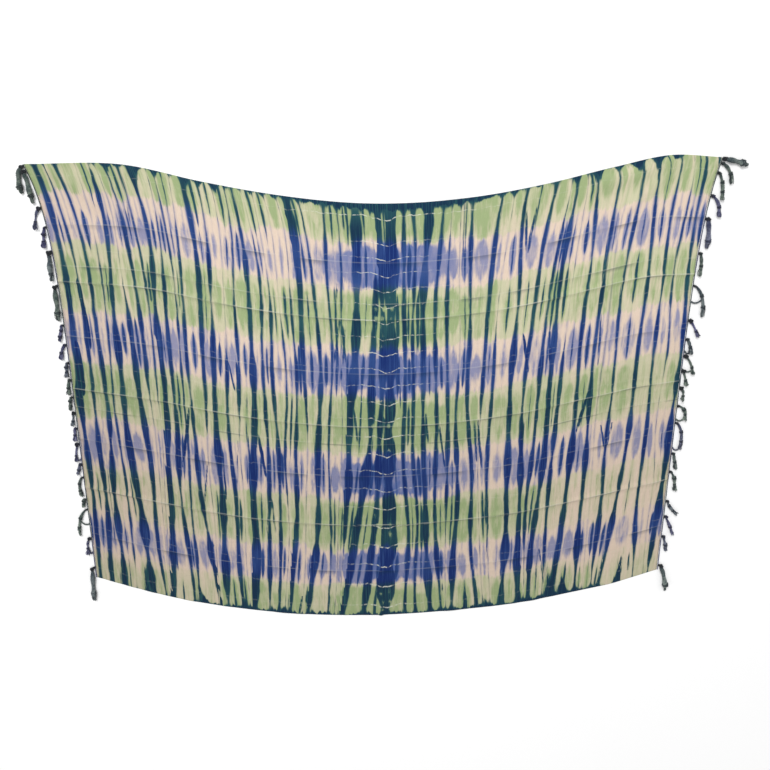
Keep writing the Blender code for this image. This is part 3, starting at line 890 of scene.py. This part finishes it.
def noise(vector, scale, detail=2.0, roughness=0.5):
    """The value of a Noise Texture with its own scale along each axis, about 0.5 on average."""
    inputs = {"Vector": scaled(vector, scale), "Scale": 1.0, "Detail": detail, "Roughness": roughness}
    return Value(add_node(vector.tree, "ShaderNodeTexNoise", inputs=inputs).outputs["Fac"])


def scaled(vector, scale):
    """vector with each of its components multiplied by its own scale."""
    inputs = {"Vector": vector, "Scale": scale}
    return Value(add_node(vector.tree, "ShaderNodeMapping", inputs=inputs).outputs["Vector"])


def components(vector):
    """The three components of a vector."""
    node = add_node(vector.tree, "ShaderNodeSeparateXYZ", inputs={0: vector})
    return [Value(socket) for socket in node.outputs]


def attribute(tree, name):
    """The field of this name."""
    return Value(add_node(tree, "ShaderNodeAttribute", attribute_name=name).outputs["Fac"])


def coordinates(tree, kind):
    """Each point's place on the piece's own UV, or with Object in the object's frame."""
    return Value(add_node(tree, "ShaderNodeTexCoord").outputs[kind])


def new_group(name, inputs, outputs):
    """An empty shader node group with these sockets, its inputs as values by name, and its output node."""
    group = bpy.data.node_groups.new(name, "ShaderNodeTree")
    for direction, sockets in (("INPUT", inputs), ("OUTPUT", outputs)):
        for socket, kind in sockets.items():
            group.interface.new_socket(socket, in_out=direction, socket_type=f"NodeSocket{kind}")
    given = group.nodes.new("NodeGroupInput").outputs
    return group, {socket: Value(given[socket]) for socket in inputs}, group.nodes.new("NodeGroupOutput")


def weave_group():
    """Plain weave: threads over and under each other at a given number to the metre.

    Height is the product of two sines, one along each thread direction, roughened by noise. Slub is a slow
    unevenness of the threads, about 0.5.
    """
    inputs, outputs = {"Vector": "Vector", "Threads": "Float"}, {"Height": "Float", "Slub": "Float"}
    group, given, made = new_group("plain weave", inputs, outputs)
    x, y, _ = components(given["Vector"])
    turns = given["Threads"] * np.pi
    over = (x * turns).math("SINE") * (y * turns).math("SINE")
    slub = noise(given["Vector"], (900, 60, 1), 3.0, 0.6)
    cross = noise(given["Vector"], (60, 900, 1), 3.0, 0.6)
    link((slub + cross) * 0.8 + over, made, "Height")
    link(slub, made, "Slub")
    return group


def mottle_group():
    """Uneven dye: soft blotches stretched along the second axis, with finer ones over them, from 0 to 1."""
    inputs = {"Vector": "Vector", "Size": "Float", "Stretch": "Float"}
    group, given, made = new_group("uneven dye", inputs, {"Blotch": "Float", "Fleck": "Float"})
    x, y, z = components(given["Vector"])
    parts = {0: x / given["Size"], 1: y / given["Size"] / given["Stretch"], 2: z}
    place = Value(add_node(group, "ShaderNodeCombineXYZ", inputs=parts).outputs[0])
    link(ramp(noise(place, (1, 1, 1), 3.0, 0.55), 0.3, 0.7), made, "Blotch")
    link(ramp(noise(place, (5, 5, 5), 2.0, 0.6), 0.3, 0.7), made, "Fleck")
    return group


def from_group(name, build, **inputs):
    """The outputs of a shared node group, which is built the first time that it is asked for."""
    group = bpy.data.node_groups.get(name) or build()
    node = add_node(inputs["Vector"].tree, "ShaderNodeGroup", node_tree=group, inputs=inputs)
    return [Value(socket) for socket in node.outputs]


SHADER_INPUTS = ("Roughness", "Specular IOR Level", "Sheen Weight", "Sheen Roughness")


def principled(name, roughness, specular, sheen):
    """A new material and its Principled shader. sheen is the weight and the roughness of its sheen."""
    material = bpy.data.materials.new(name)
    material.use_nodes = True
    shader = material.node_tree.nodes["Principled BSDF"]
    for socket, value in zip(SHADER_INPUTS, (roughness, specular, *sheen)):
        shader.inputs[socket].default_value = value
    return material, shader


def add_bump(shader, height, strength, distance):
    """Bends the shader's normals by a height. distance is how many metres a height of 1 stands for."""
    inputs = {"Strength": strength, "Distance": distance, "Height": height}
    link(Value(add_node(height.tree, "ShaderNodeBump", inputs=inputs).outputs["Normal"]), shader, "Normal")


# Materials


def tie_lines(place, fleck):
    """How much of a pale tie line shows at each point.

    The lines cross the cloth level and dip at the fold line. The first is on its own near the upper edge, and
    the others come a little further apart down the cloth. They are clear near the fold line and break into
    faint dashes further out. The number of lines above a level is a quadratic in it.
    """
    x, y, _ = components(place)
    down = CUT_HEIGHT - y
    beside = x - (FOLD_LINE_ACROSS * CUT_WIDTH + 0.004)
    sway = (noise(place, (46, 14, 1)) - 0.5) * 0.014
    level = down - falloff(beside, 0.024) * LINE_DIP + sway
    number = (level * LINES_SLOWING + LINES_PER_METRE) * level + LINES_START
    distance = abs(number.math("FRACT") - 0.5) * LINE_PITCH + ramp(level, *LINES_BEGIN, 0.0, 0.010)
    distance = distance.math("MINIMUM", abs(level - FIRST_LINE_DOWN))
    line = ramp(distance, LINE_HALF_WIDTH, LINE_HALF_WIDTH * 0.3)
    reach = ramp(down, 0.050, 0.040, *LINE_REACHES)
    strength = falloff(beside, reach) * 0.62 + 0.09
    dashes = ramp(noise(place, (110, 30, 1)), 0.40, 0.62)
    return line * ((dashes + fleck * 0.25) * strength)


def cloth_material(settings):
    """Dyed rayon: a light ground, dyed lanes and dark streaks, green or blue by band, and pale tie lines.

    Distances are in millimetres. The noises make them a little uneven, so that no edge of the dye is smooth.
    """
    material, shader = principled("dyed rayon", roughness=0.75, specular=0.12, sheen=(0.03, 0.4))
    tree = material.node_tree
    uv = coordinates(tree, "UV")
    place = scaled(uv, (CUT_WIDTH, CUT_HEIGHT, 1.0))

    def field(name):
        return attribute(tree, name)

    blotch, fleck = from_group("uneven dye", mottle_group, Vector=place, Size=0.0045, Stretch=12.0)
    wide_blotch, _ = from_group("uneven dye", mottle_group, Vector=place, Size=0.016, Stretch=4.0)
    wobble = (blotch + wide_blotch - 1.0) * 1.8
    uneven = blotch - 0.5

    # The dark streaks and borders
    span = field("span")
    passed = field("lane").math("FRACT")
    from_core = abs(passed - 0.5) * span - field("core")
    flames = noise(place, (260, 35, 1)) - 0.5
    from_border = field("border") + flames * 10.0
    from_main = passed.math("MINIMUM", 1.0 - passed) * span - field("width")
    from_main = from_main.math("SMOOTH_MIN", from_border, 24.0) + wobble
    main = ramp(from_main, *MAIN_EDGE) * field("depth")
    border = ramp(from_border + wobble, *BORDER_EDGE)
    core = ramp(from_core + wobble, *CORE_EDGE) * 0.66
    crossing = ramp(field("crossing") + wobble, *CROSSING_EDGE) * field("crossing_depth")
    dark = main.math("MAXIMUM", border).math("MAXIMUM", core.math("MAXIMUM", crossing))

    # The bands, and the spots where the green bands' streaks were kept off
    green = ramp(field("band") + uneven * 9.0, -4.0, 5.0)
    deep_green = ramp(field("streak_band") + uneven * 6.0, -14.0, 14.0)
    spots = ramp(field("clear") + (fleck - 0.5) * 0.4, 0.25, 0.75)
    dark = dark * (1.0 - spots * green * 0.75)

    # The dyed middles of the lanes, with the halo beside the streaks
    halo = ramp(from_main.math("MINIMUM", from_core), HALO, 0.0) * ramp(wide_blotch, 0.2, 0.8, 0.15, 0.80)
    patchy = ramp(wide_blotch, 0.0, 1.0, 0.65, 1.10)
    green_tone = field("green_tone") * patchy + uneven * 0.338
    green_tone = ramp(green_tone, 0.0, 1.0) + halo * 0.6
    blue_tone = ramp(field("blue_tone") * patchy + uneven * 0.26, 0.05, 1.0) + halo
    blue_tone = blue_tone.math("MINIMUM", 1.0)

    # The ground's colours
    peachy = field("bare") * 0.75 + ramp(noise(place, (55, 9, 1)), 0.42, 0.68, 0.0, 0.55)
    green_ground = mix(peachy, settings.green_light, settings.blue_light)
    in_green = mix(green_tone, green_ground, settings.green_middle)
    in_blue = mix(blue_tone, settings.blue_light, settings.blue_middle)
    filled = field("filled") * ramp(wide_blotch, 0.1, 0.9, 0.3, 1.0)
    in_blue = mix(filled * blue_tone, in_blue, settings.blue_filled)
    colour = mix(green, in_blue, in_green)

    # The dark dye over it, with paler lines in it
    darkest = mix(deep_green, settings.blue_dark, settings.green_dark)
    paler = mix(deep_green, settings.blue_streak, settings.green_streak)
    darkest = mix(ramp(noise(place, (420, 9, 1)), 0.48, 0.72), darkest, paler)
    colour = mix(ramp(dark, 0.0, 0.5), colour, paler)
    colour = mix(ramp(dark, 0.30, 0.98), colour, darkest)

    # Slashes, creases, the painted shadow below the creases, and tie lines
    colour = mix(ramp(field("slash"), 1.5, 0.5, 0.0, 0.75), colour, settings.tie_line)
    # Painted shadow: the green streaks' dark colour laid just below each crease's crest
    colour = mix(field("crease_shade") * 0.45, colour, settings.green_dark)
    colour = mix(tie_lines(place, fleck), colour, settings.tie_line)
    colour = mix(field("crease") * 0.42, colour, settings.tie_line)

    # Threads, and shade towards the lower edge and the left side
    height, slub = from_group("plain weave", weave_group, Vector=place, Threads=THREADS_PER_METRE)
    across, up, _ = components(uv)
    shade = ramp(slub, 0.2, 0.8, 0.93, 1.07)
    shade = shade * ramp(up, 0.30, 0.80, settings.lower_shade, 1.0) * ramp(across, 0.0, 0.30, 0.88, 1.0)
    link(mix(1.0, colour, shade, "MULTIPLY"), shader, "Base Color")
    crinkle = noise(place, (14, 130, 1), 3.0, 0.55)
    add_bump(shader, crinkle * 9.0 + height, strength=0.35, distance=0.0002)
    return material


def yarn_material(settings):
    """Twisted yarn, dark green or navy by tassel, near-black at its roots and knots.

    Its pale patches along the turns are partly fibres pale with wear and partly painted highlights, and its
    near-black flecks are painted shade.
    """
    material, shader = principled("twisted yarn", roughness=0.85, specular=0.25, sheen=(0.2, 0.5))
    tree = material.node_tree
    where = coordinates(tree, "Object")
    tint, worn = attribute(tree, "tint"), attribute(tree, "worn")
    _, fleck = from_group("uneven dye", mottle_group, Vector=where, Size=0.12, Stretch=2.0)
    fibres = noise(coordinates(tree, "UV"), (14, 60, 1), 3.0, 0.65)
    patchy = ramp(noise(where, (130, 130, 130)), 0.36, 0.56, 0.25, 1.0) * ramp(fibres, 0.30, 0.60, 0.35, 1.0)
    base = mix(tint, settings.yarn_green, settings.yarn_navy)
    pale = mix(tint, settings.worn_green, settings.worn_navy)
    # Pale patches along the turns: partly fibres pale with wear, partly painted highlights
    colour = mix(patchy * worn, base, pale)
    # Painted shade: near-black flecks placed by the uneven-dye noise
    colour = mix(fleck * 0.3, colour, settings.yarn_black)
    # Near-black yarn where it is least pale, at the roots and in the knots
    colour = mix(ramp(worn, 0.22, 0.03, 0.0, 0.9), colour, settings.yarn_black)
    link(colour, shader, "Base Color")
    add_bump(shader, fibres, strength=0.5, distance=0.0003)
    return material


def floor_material(settings):
    """Plain pale paper with the faintest tooth."""
    material, shader = principled("pale floor", roughness=0.9, specular=0.25, sheen=(0.0, 0.5))
    tooth = noise(coordinates(material.node_tree, "Object"), (400, 400, 400))
    link(mix(tooth * 0.02, settings.floor_colour, (0.7, 0.7, 0.7)), shader, "Base Color")
    return material


# The cloth


def cloth_rows(count):
    """The places down the cloth of its grid's rows: closely spaced at each fold, evenly spaced elsewhere."""
    close = list(ROWS_AT_HEMS)
    for folds, steps in ((PACKING_FOLDS_DOWN, ROWS_AT_PACKING_FOLD), (FINE_FOLDS_DOWN, ROWS_AT_FINE_FOLD)):
        close += [fold + step * MILLIMETRE / CUT_HEIGHT for fold in folds for step in steps]
    close = np.array(sorted(close))
    even = np.linspace(0, 1, count - len(close))
    near = np.abs(even[:, None] - close).min(axis=1) < CLOSEST_ROWS
    return np.sort(np.concatenate([even[~near | (even == 0) | (even == 1)], close]))


def build_cloth(settings):
    """The cloth: a thin shell over the laid-out outline, lifted along its folds and slack between them."""
    down, across = np.meshgrid(cloth_rows(settings.rows), np.linspace(0, 1, settings.columns), indexing="ij")
    x, y = cloth_point(across, down)
    z = settings.shell + fold_lift(across, down) + slack(across, down, settings.slack_height)
    points = np.stack([x, y, z], axis=-1).reshape(-1, 3)
    faces = grid_faces(*across.shape)
    uv = np.stack([across, 1 - down], axis=-1).reshape(-1, 2)[faces]
    fields = {**dye_fields(across, down), **crease_fields(across, down)}
    cloth = mesh_object("cloth", points, faces, uv, fields)
    cloth.data.materials.append(cloth_material(settings))
    wall = cloth.modifiers.new("thickness", "SOLIDIFY")
    wall.thickness = settings.shell
    wall.offset = -1.0
    return cloth


# The fringes


def path_lengths(path):
    """How far along the path each of its points lies."""
    return np.concatenate([[0], np.cumsum(np.linalg.norm(np.diff(path, axis=0), axis=1))])


def path_frames(path):
    """The sideways and upward directions at each point of a path that runs near the level."""
    tangent = np.gradient(path, axis=0)
    tangent /= np.linalg.norm(tangent, axis=1, keepdims=True) + 1e-9
    sideways = np.cross(UP, tangent)
    sideways /= np.linalg.norm(sideways, axis=1, keepdims=True) + 1e-9
    return sideways, np.cross(tangent, sideways)


def tube(path, radius, sides, worn, tint):
    """A tube of rings along a path, each a circle of its own radius across the path, closed at both ends.

    worn and tint are one number, or one for each ring. A point's place is its share round the ring and its
    metres along the path.
    """
    sideways, upward = path_frames(path)
    turn = np.arange(sides) / sides * 2 * np.pi
    radius = np.broadcast_to(radius, len(path))[:, None, None]
    ring = np.cos(turn)[None, :, None] * sideways[:, None] + np.sin(turn)[None, :, None] * upward[:, None]
    points = (path[:, None] + radius * ring).reshape(-1, 3)
    last = (len(path) - 1) * sides
    faces = [*grid_faces(len(path), sides, wrap=True)[:, ::-1]]
    faces += [np.arange(sides)[::-1], last + np.arange(sides)]
    place = np.broadcast_arrays(turn / (2 * np.pi), path_lengths(path)[:, None])
    place = np.stack(place, axis=-1).reshape(-1, 2)
    worn, tint = (np.repeat(np.broadcast_to(value, len(path)), sides) for value in (worn, tint))
    return points, faces, place, worn, tint


def join_tubes(name, tubes):
    """One mesh object made of all the tubes."""
    points, faces, place, worn, tint = zip(*tubes)
    starts = np.cumsum([0, *map(len, points)])
    faces = [(face + start).tolist() for group, start in zip(faces, starts) for face in group]
    place = np.concatenate(place)[np.concatenate(faces)]
    fields = {"tint": np.concatenate(tint), "worn": np.concatenate(worn)}
    return mesh_object(name, np.concatenate(points), faces, place, fields)


def plied(path, radius, plies, turns, flatness=1.0):
    """The paths of the plies of a twisted cord: helices round the cord's own path, each with its own phase.

    turns is how many turns they have made at each point of the path.
    """
    sideways, upward = path_frames(path)
    radius = np.broadcast_to(radius, len(path))[:, None]
    for ply in range(plies):
        turn = 2 * np.pi * (np.asarray(turns) + ply / plies)[:, None]
        yield path + radius * (np.cos(turn) * sideways + flatness * np.sin(turn) * upward)


def tassel_path(tassel, place_of, half_width, count):
    """The path of a tassel's cord over the surface, count points in the row frame, level with the surface.

    Down grows as t to the power 1.3. Out runs on the parabola through the root, the middle and the tip, and
    stays clear of the cloth's edge by the cord's mean half-width.
    """
    t = np.linspace(0, 1, 12)
    middle, tip = tassel.middle - ROOT_OUT, tassel.tip - ROOT_OUT
    out = ROOT_OUT + t * (4 * middle - tip) + 2 * t**2 * (tip - 2 * middle)
    out[1:] = np.maximum(out[1:], ROOT_OUT + half_width + EDGE_CLEARANCE)
    out[0] -= ROOT_SINK
    x, y = place_of(tassel.down + tassel.drop * t**1.3, out)
    points = np.stack([x, y, np.zeros(len(t))], axis=-1)
    lengths = path_lengths(points)
    along = np.linspace(0, lengths[-1], count)
    return np.stack([smooth_curve(lengths, column, along) for column in points.T], axis=-1)


def knot_turns(centre, along, radius, count):
    """Turns of yarn wound round the cord, as the paths of rings that lean a little to each other."""
    along = along * (1, 1, 0)
    along = along / np.linalg.norm(along)
    sideways = np.cross(UP, along)
    turn = np.linspace(0, 2 * np.pi, 13)[:, None]
    for step in np.arange(count) - (count - 1) / 2:
        middle = centre + along * step * KNOT_TURN_PITCH
        lean = along * 0.3 * radius * np.sin(turn + step)
        yield middle + radius * (np.cos(turn) * sideways + FLATNESS * np.sin(turn) * UP) + lean


def tassel_tubes(tassel, place_of, seed):
    """The tubes of one tassel: the plies of its cord, the turns of its knots and the yarns of its tuft.

    The cord is as thick at each place as its form says, a little uneven, and lies flattened by a quarter.
    """
    draw = np.random.default_rng(seed)
    form = FORMS[tassel.form]
    count = int(np.clip((tassel.drop + tassel.tip) / RING_PITCH, *RINGS))
    t = np.linspace(0, 1, count)
    half_width = FULLNESS * np.interp(t, FORM_PLACES, form.half_widths) * MILLIMETRE
    half_width *= 1 + 0.16 * np.sin(13 * t + draw.uniform(0, 6))
    path = tassel_path(tassel, place_of, half_width.mean(), count)
    path[:, 2] = 0.0003 + 0.875 * half_width
    turns = path_lengths(path) / (CORD_LAY * draw.uniform(0.85, 1.15)) + draw.uniform()

    cord = t <= form.tuft + 0.05
    yarn = half_width[cord] * 0.50
    # How pale the cord is, from near black at the root: partly fibres pale with wear, partly painted
    # highlights
    worn = np.interp(t[cord], (0.0, 0.25, 0.5, 1.0), (0.0, 0.30, 0.65, 0.85))
    for ply in plied(path[cord], yarn, 3, turns[cord], FLATNESS):
        yield tube(ply, yarn, 6, worn, tassel.tint)
    for knot in form.knots:
        at = int(knot * (count - 1))
        kind = ROOT_KNOT if knot < 0.2 and tassel.form != "cord" else KNOT
        size = max(half_width[at], kind.smallest) * draw.uniform(0.9, 1.1)
        centre = np.array([*path[at, :2], FLATNESS * size + 0.0014])
        for loop in knot_turns(centre, path[at + 1] - path[at - 1], size, kind.turns):
            yield tube(loop, WINDING_RADIUS, 6, kind.worn, tassel.tint)

    tail = t >= form.tuft
    path, half_width = path[tail], half_width[tail]
    share = np.linspace(0, 1, len(path))
    sideways, upward = path_frames(path)
    for _ in range(YARNS_IN_TUFT):
        turn, lean = draw.uniform(0, 2 * np.pi), draw.uniform(0.15, 0.85)
        swell = (half_width * lean * (1 + 0.15 * np.sin(9 * share + turn)))[:, None]
        yarn = path + swell * (np.cos(turn) * sideways + 0.7 * np.sin(turn) * upward)
        yarn[:, 2] = np.maximum(yarn[:, 2], WINDING_RADIUS)
        end = max(4, int(len(path) * draw.uniform(0.85, 1.0)))
        # How pale each yarn of the tuft is: partly fibres pale with wear, partly painted highlights
        worn = draw.uniform(0.0, 1.35) * (0.6 + 0.4 * share[:end])
        yield tube(yarn[:end], YARN_RADIUS * (1 - 0.35 * share[:end] ** 3), 5, worn, tassel.tint)


def tie_tubes(tassel, tie, place_of):
    """The plies of a thin cord from a place on a tassel back to the cloth's edge, bowed downwards."""
    half_width = np.mean(FORMS[tassel.form].half_widths) * MILLIMETRE
    path = tassel_path(tassel, place_of, half_width, TIE_START_PLACES)
    start = path[int(tie.share * (len(path) - 1))]
    end = np.array([*place_of(tie.down, ROOT_OUT - 0.002), 0.0])
    t = np.linspace(0, 1, TIE_RINGS)
    cord = start + t[:, None] * (end - start)
    cord[:, 1] -= TIE_SAG * 4 * t * (1 - t)
    cord[:, 2] = TIE_HEIGHT
    for ply in plied(cord, TIE_PLY_OUT, 2, t * np.linalg.norm(end - start) / TIE_LAY):
        yield tube(ply, TIE_YARN_RADIUS, 6, 0.35, tassel.tint)


def build_fringe(name, node, side, across, tassels, ties, settings):
    """A fringe: the bound edge that its tassels hang from, the tassels, and the cords that tie some back."""
    hand = 1 if across else -1
    upper, lower = float(edge_y("upper", across)), float(edge_y("lower", across))
    length = upper - lower

    def place_of(down, out):
        edge = side_x(side, np.clip(np.asarray(down) / length, 0, 1))
        return edge + hand * out + DRAWING_TO_ROW[0], upper - down + DRAWING_TO_ROW[1]

    down = np.linspace(0.001, length - 0.001, EDGE_RINGS)
    edge = np.stack([*place_of(down, EDGE_OUT), np.full(len(down), EDGE_HEIGHT)], axis=-1)
    band = np.interp(down / length, BAND_EDGES, [0, 1] * 4)
    tubes = [tube(ply, YARN_RADIUS, 6, 0.3, band) for ply in plied(edge, EDGE_PLY_OUT, 2, down / EDGE_LAY)]
    for number, tassel in enumerate(tassels):
        tubes += tassel_tubes(tassel, place_of, settings.seed + number + 100 * across)
    for tie in ties:
        tubes += tie_tubes(tassels[tie.tassel], tie, place_of)
    fringe = join_tubes(name, tubes)
    fringe.data.materials.append(bpy.data.materials.get("twisted yarn") or yarn_material(settings))
    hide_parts(node)
    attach(fringe, "root")
    return fringe


# The stage


def add_object(name, data):
    """A new object for these data, in the scene."""
    thing = bpy.data.objects.new(name, data)
    bpy.context.scene.collection.objects.link(thing)
    return thing


def build_stage(settings):
    """A wide pale floor, a big soft key light and an even sky, and the camera.

    The camera looks at the drawing frame's origin. It is tilted from straight above towards the upper edge.
    """
    bpy.ops.mesh.primitive_plane_add(size=14, location=(0, 0, -FLOOR_DEPTH))
    floor = bpy.context.object
    floor.name = "floor"
    floor.data.materials.append(floor_material(settings))

    backwards = np.array([0.0, np.sin(settings.tilt), np.cos(settings.tilt)])
    upwards = np.array([0.0, np.cos(settings.tilt), -np.sin(settings.tilt)])
    matrix = np.eye(4)
    matrix[:3, 1] = upwards
    matrix[:3, 2] = backwards
    matrix[:3, 3] = np.array([*DRAWING_TO_ROW, 0.0]) + settings.distance * backwards
    camera = add_object("camera", bpy.data.cameras.new("camera"))
    camera.data.sensor_width = 36.0
    camera.data.lens = settings.lens
    camera.matrix_world = Matrix(matrix.tolist())
    bpy.context.scene.camera = camera

    key = add_object("key light", bpy.data.lights.new("key light", "AREA"))
    key.data.shape = "DISK"
    key.data.size = 3.0
    key.data.energy = settings.key
    key.location = (-1.6, 4.6, 5.6)
    key.rotation_euler = (Vector(key.location) * -1).to_track_quat("-Z", "Y").to_euler()

    world = bpy.data.worlds.new("soft sky")
    world.use_nodes = True
    world.node_tree.nodes["Background"].inputs["Color"].default_value = (1.0, 1.0, 1.0, 1.0)
    world.node_tree.nodes["Background"].inputs["Strength"].default_value = settings.sky
    bpy.context.scene.world = world
    bpy.context.scene.view_settings.view_transform = "Standard"


# Settings


def colour(name, description, value):
    """A colour setting."""
    kind = {"subtype": "COLOR", "size": 3, "min": 0.0, "max": 1.0}
    return bpy.props.FloatVectorProperty(name=name, description=description, default=value, **kind)


def number(name, description, value, subtype="NONE"):
    """A setting that is a number, or with a subtype a length, an angle or a power."""
    return bpy.props.FloatProperty(name=name, description=description, default=value, subtype=subtype)


def count(name, description, value):
    """A setting that is a whole number."""
    return bpy.props.IntProperty(name=name, description=description, default=value)


class SarongClothSettings(bpy.types.PropertyGroup):
    """Sizes and dyes of the cloth."""

    columns: count("Columns", "Grid points across the cloth", 384)
    rows: count("Rows", "Grid points down the cloth", 128)
    shell: number("Shell", "Thickness of the cloth", 0.0007, "DISTANCE")
    slack_height: number("Slack", "Height of the low waves in the cloth", 0.0016, "DISTANCE")
    green_light: colour("Green ground", "Lightest colour of the green bands", (0.575, 0.555, 0.375))
    green_middle: colour("Green middle", "Middle colour of the green bands", (0.330, 0.410, 0.205))
    green_dark: colour("Green streak", "Streaks in the green bands", (0.006, 0.030, 0.068))
    blue_light: colour("Blue ground", "Lightest colour of the blue bands", (0.735, 0.590, 0.475))
    blue_middle: colour("Blue middle", "Middle colour of the blue bands", (0.285, 0.280, 0.41))
    blue_filled: colour("Blue by the fold", "Lanes beside the fold line in blue bands", (0.10, 0.15, 0.36))
    blue_dark: colour("Blue streak", "Streaks in the blue bands", (0.006, 0.024, 0.140))
    green_streak: colour("Green line", "Paler lines in the green streaks", (0.022, 0.090, 0.100))
    blue_streak: colour("Blue line", "Paler lines in the blue streaks", (0.030, 0.075, 0.240))
    tie_line: colour("Tie line", "Pale lines left by the ties", (0.72, 0.72, 0.62))
    lower_shade: number("Lower shade", "How bright the lower part is beside the upper one", 0.80)


class SarongFringeSettings(bpy.types.PropertyGroup):
    """Yarn colours of the fringes."""

    seed: count("Seed", "Seed of the tassels' small differences", 40)
    yarn_green: colour("Green yarn", "Yarn of the tassels beside green bands", (0.022, 0.045, 0.040))
    yarn_navy: colour("Navy yarn", "Yarn of the tassels beside blue bands", (0.020, 0.022, 0.090))
    # The pale colours stand partly for fibres pale with wear and partly for painted highlights
    worn_green: colour("Worn green", "Pale fibres on green yarn", (0.27, 0.33, 0.25))
    worn_navy: colour("Worn navy", "Pale fibres on navy yarn", (0.25, 0.25, 0.42))
    # Near-black yarn at the roots and knots, also used for painted shade in flecks
    yarn_black: colour("Dark yarn", "Shaded turns of the yarn", (0.008, 0.010, 0.014))


class SarongStageSettings(bpy.types.PropertyGroup):
    """Camera, lights and floor."""

    floor_colour: colour("Floor", "Colour of the floor", (0.97, 0.97, 0.97))
    distance: number("Distance", "From the camera to the cloth", 1.873, "DISTANCE")
    tilt: number("Tilt", "How far the camera leans over the upper edge", np.radians(16.0), "ANGLE")
    lens: number("Lens", "Focal length in millimetres", 33.05)
    key: number("Key light", "Power of the key light", 320.0, "POWER")
    sky: number("Sky", "Strength of the even light all round", 0.72)


# Operators


class SARONG_OT_cloth(bpy.types.Operator):
    """Build the dyed cloth"""

    bl_idname = "sarong.cloth"
    bl_label = "Cloth"

    def execute(self, context):
        cloth = build_cloth(context.scene.sarong_cloth)
        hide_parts("cloth_panel")
        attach(cloth, "root")
        return {"FINISHED"}


class SARONG_OT_fringes(bpy.types.Operator):
    bl_idname = "sarong.fringes"
    bl_label = "Fringes"

    def execute(self, context):
        settings = context.scene.sarong_fringe
        left, right = (build_fringe(*fringe, settings) for fringe in FRINGES)
        return {"FINISHED"}


class SARONG_OT_stage(bpy.types.Operator):
    """Set the floor, the soft lights and the camera"""

    bl_idname = "sarong.stage"
    bl_label = "Stage"

    def execute(self, context):
        build_stage(context.scene.sarong_stage)
        return {"FINISHED"}


class SARONG_PT_panel(bpy.types.Panel):
    """Lists the sarong's pieces"""

    bl_idname = "SARONG_PT_panel"
    bl_label = "Sarong"
    bl_space_type = "VIEW_3D"
    bl_region_type = "UI"
    bl_category = "Sarong"

    def draw(self, context):
        groups = (
            (SARONG_OT_cloth, context.scene.sarong_cloth),
            (SARONG_OT_fringes, context.scene.sarong_fringe),
            (SARONG_OT_stage, context.scene.sarong_stage),
        )
        for operator, settings in groups:
            box = self.layout.box()
            box.operator(operator.bl_idname)
            for name in type(settings).__annotations__:
                box.prop(settings, name)


SETTINGS = {
    "sarong_cloth": SarongClothSettings,
    "sarong_fringe": SarongFringeSettings,
    "sarong_stage": SarongStageSettings,
}
CLASSES = (*SETTINGS.values(), SARONG_OT_cloth, SARONG_OT_fringes, SARONG_OT_stage, SARONG_PT_panel)


def register():
    for kind in CLASSES:
        bpy.utils.register_class(kind)
    for name, kind in SETTINGS.items():
        setattr(bpy.types.Scene, name, bpy.props.PointerProperty(type=kind))


def unregister():
    for name in SETTINGS:
        delattr(bpy.types.Scene, name)
    for kind in reversed(CLASSES):
        bpy.utils.unregister_class(kind)


def main():
    register()
    bpy.ops.sarong.stage()
    bpy.ops.sarong.cloth()
    bpy.ops.sarong.fringes()
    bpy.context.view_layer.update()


if __name__ == "__main__":
    main()
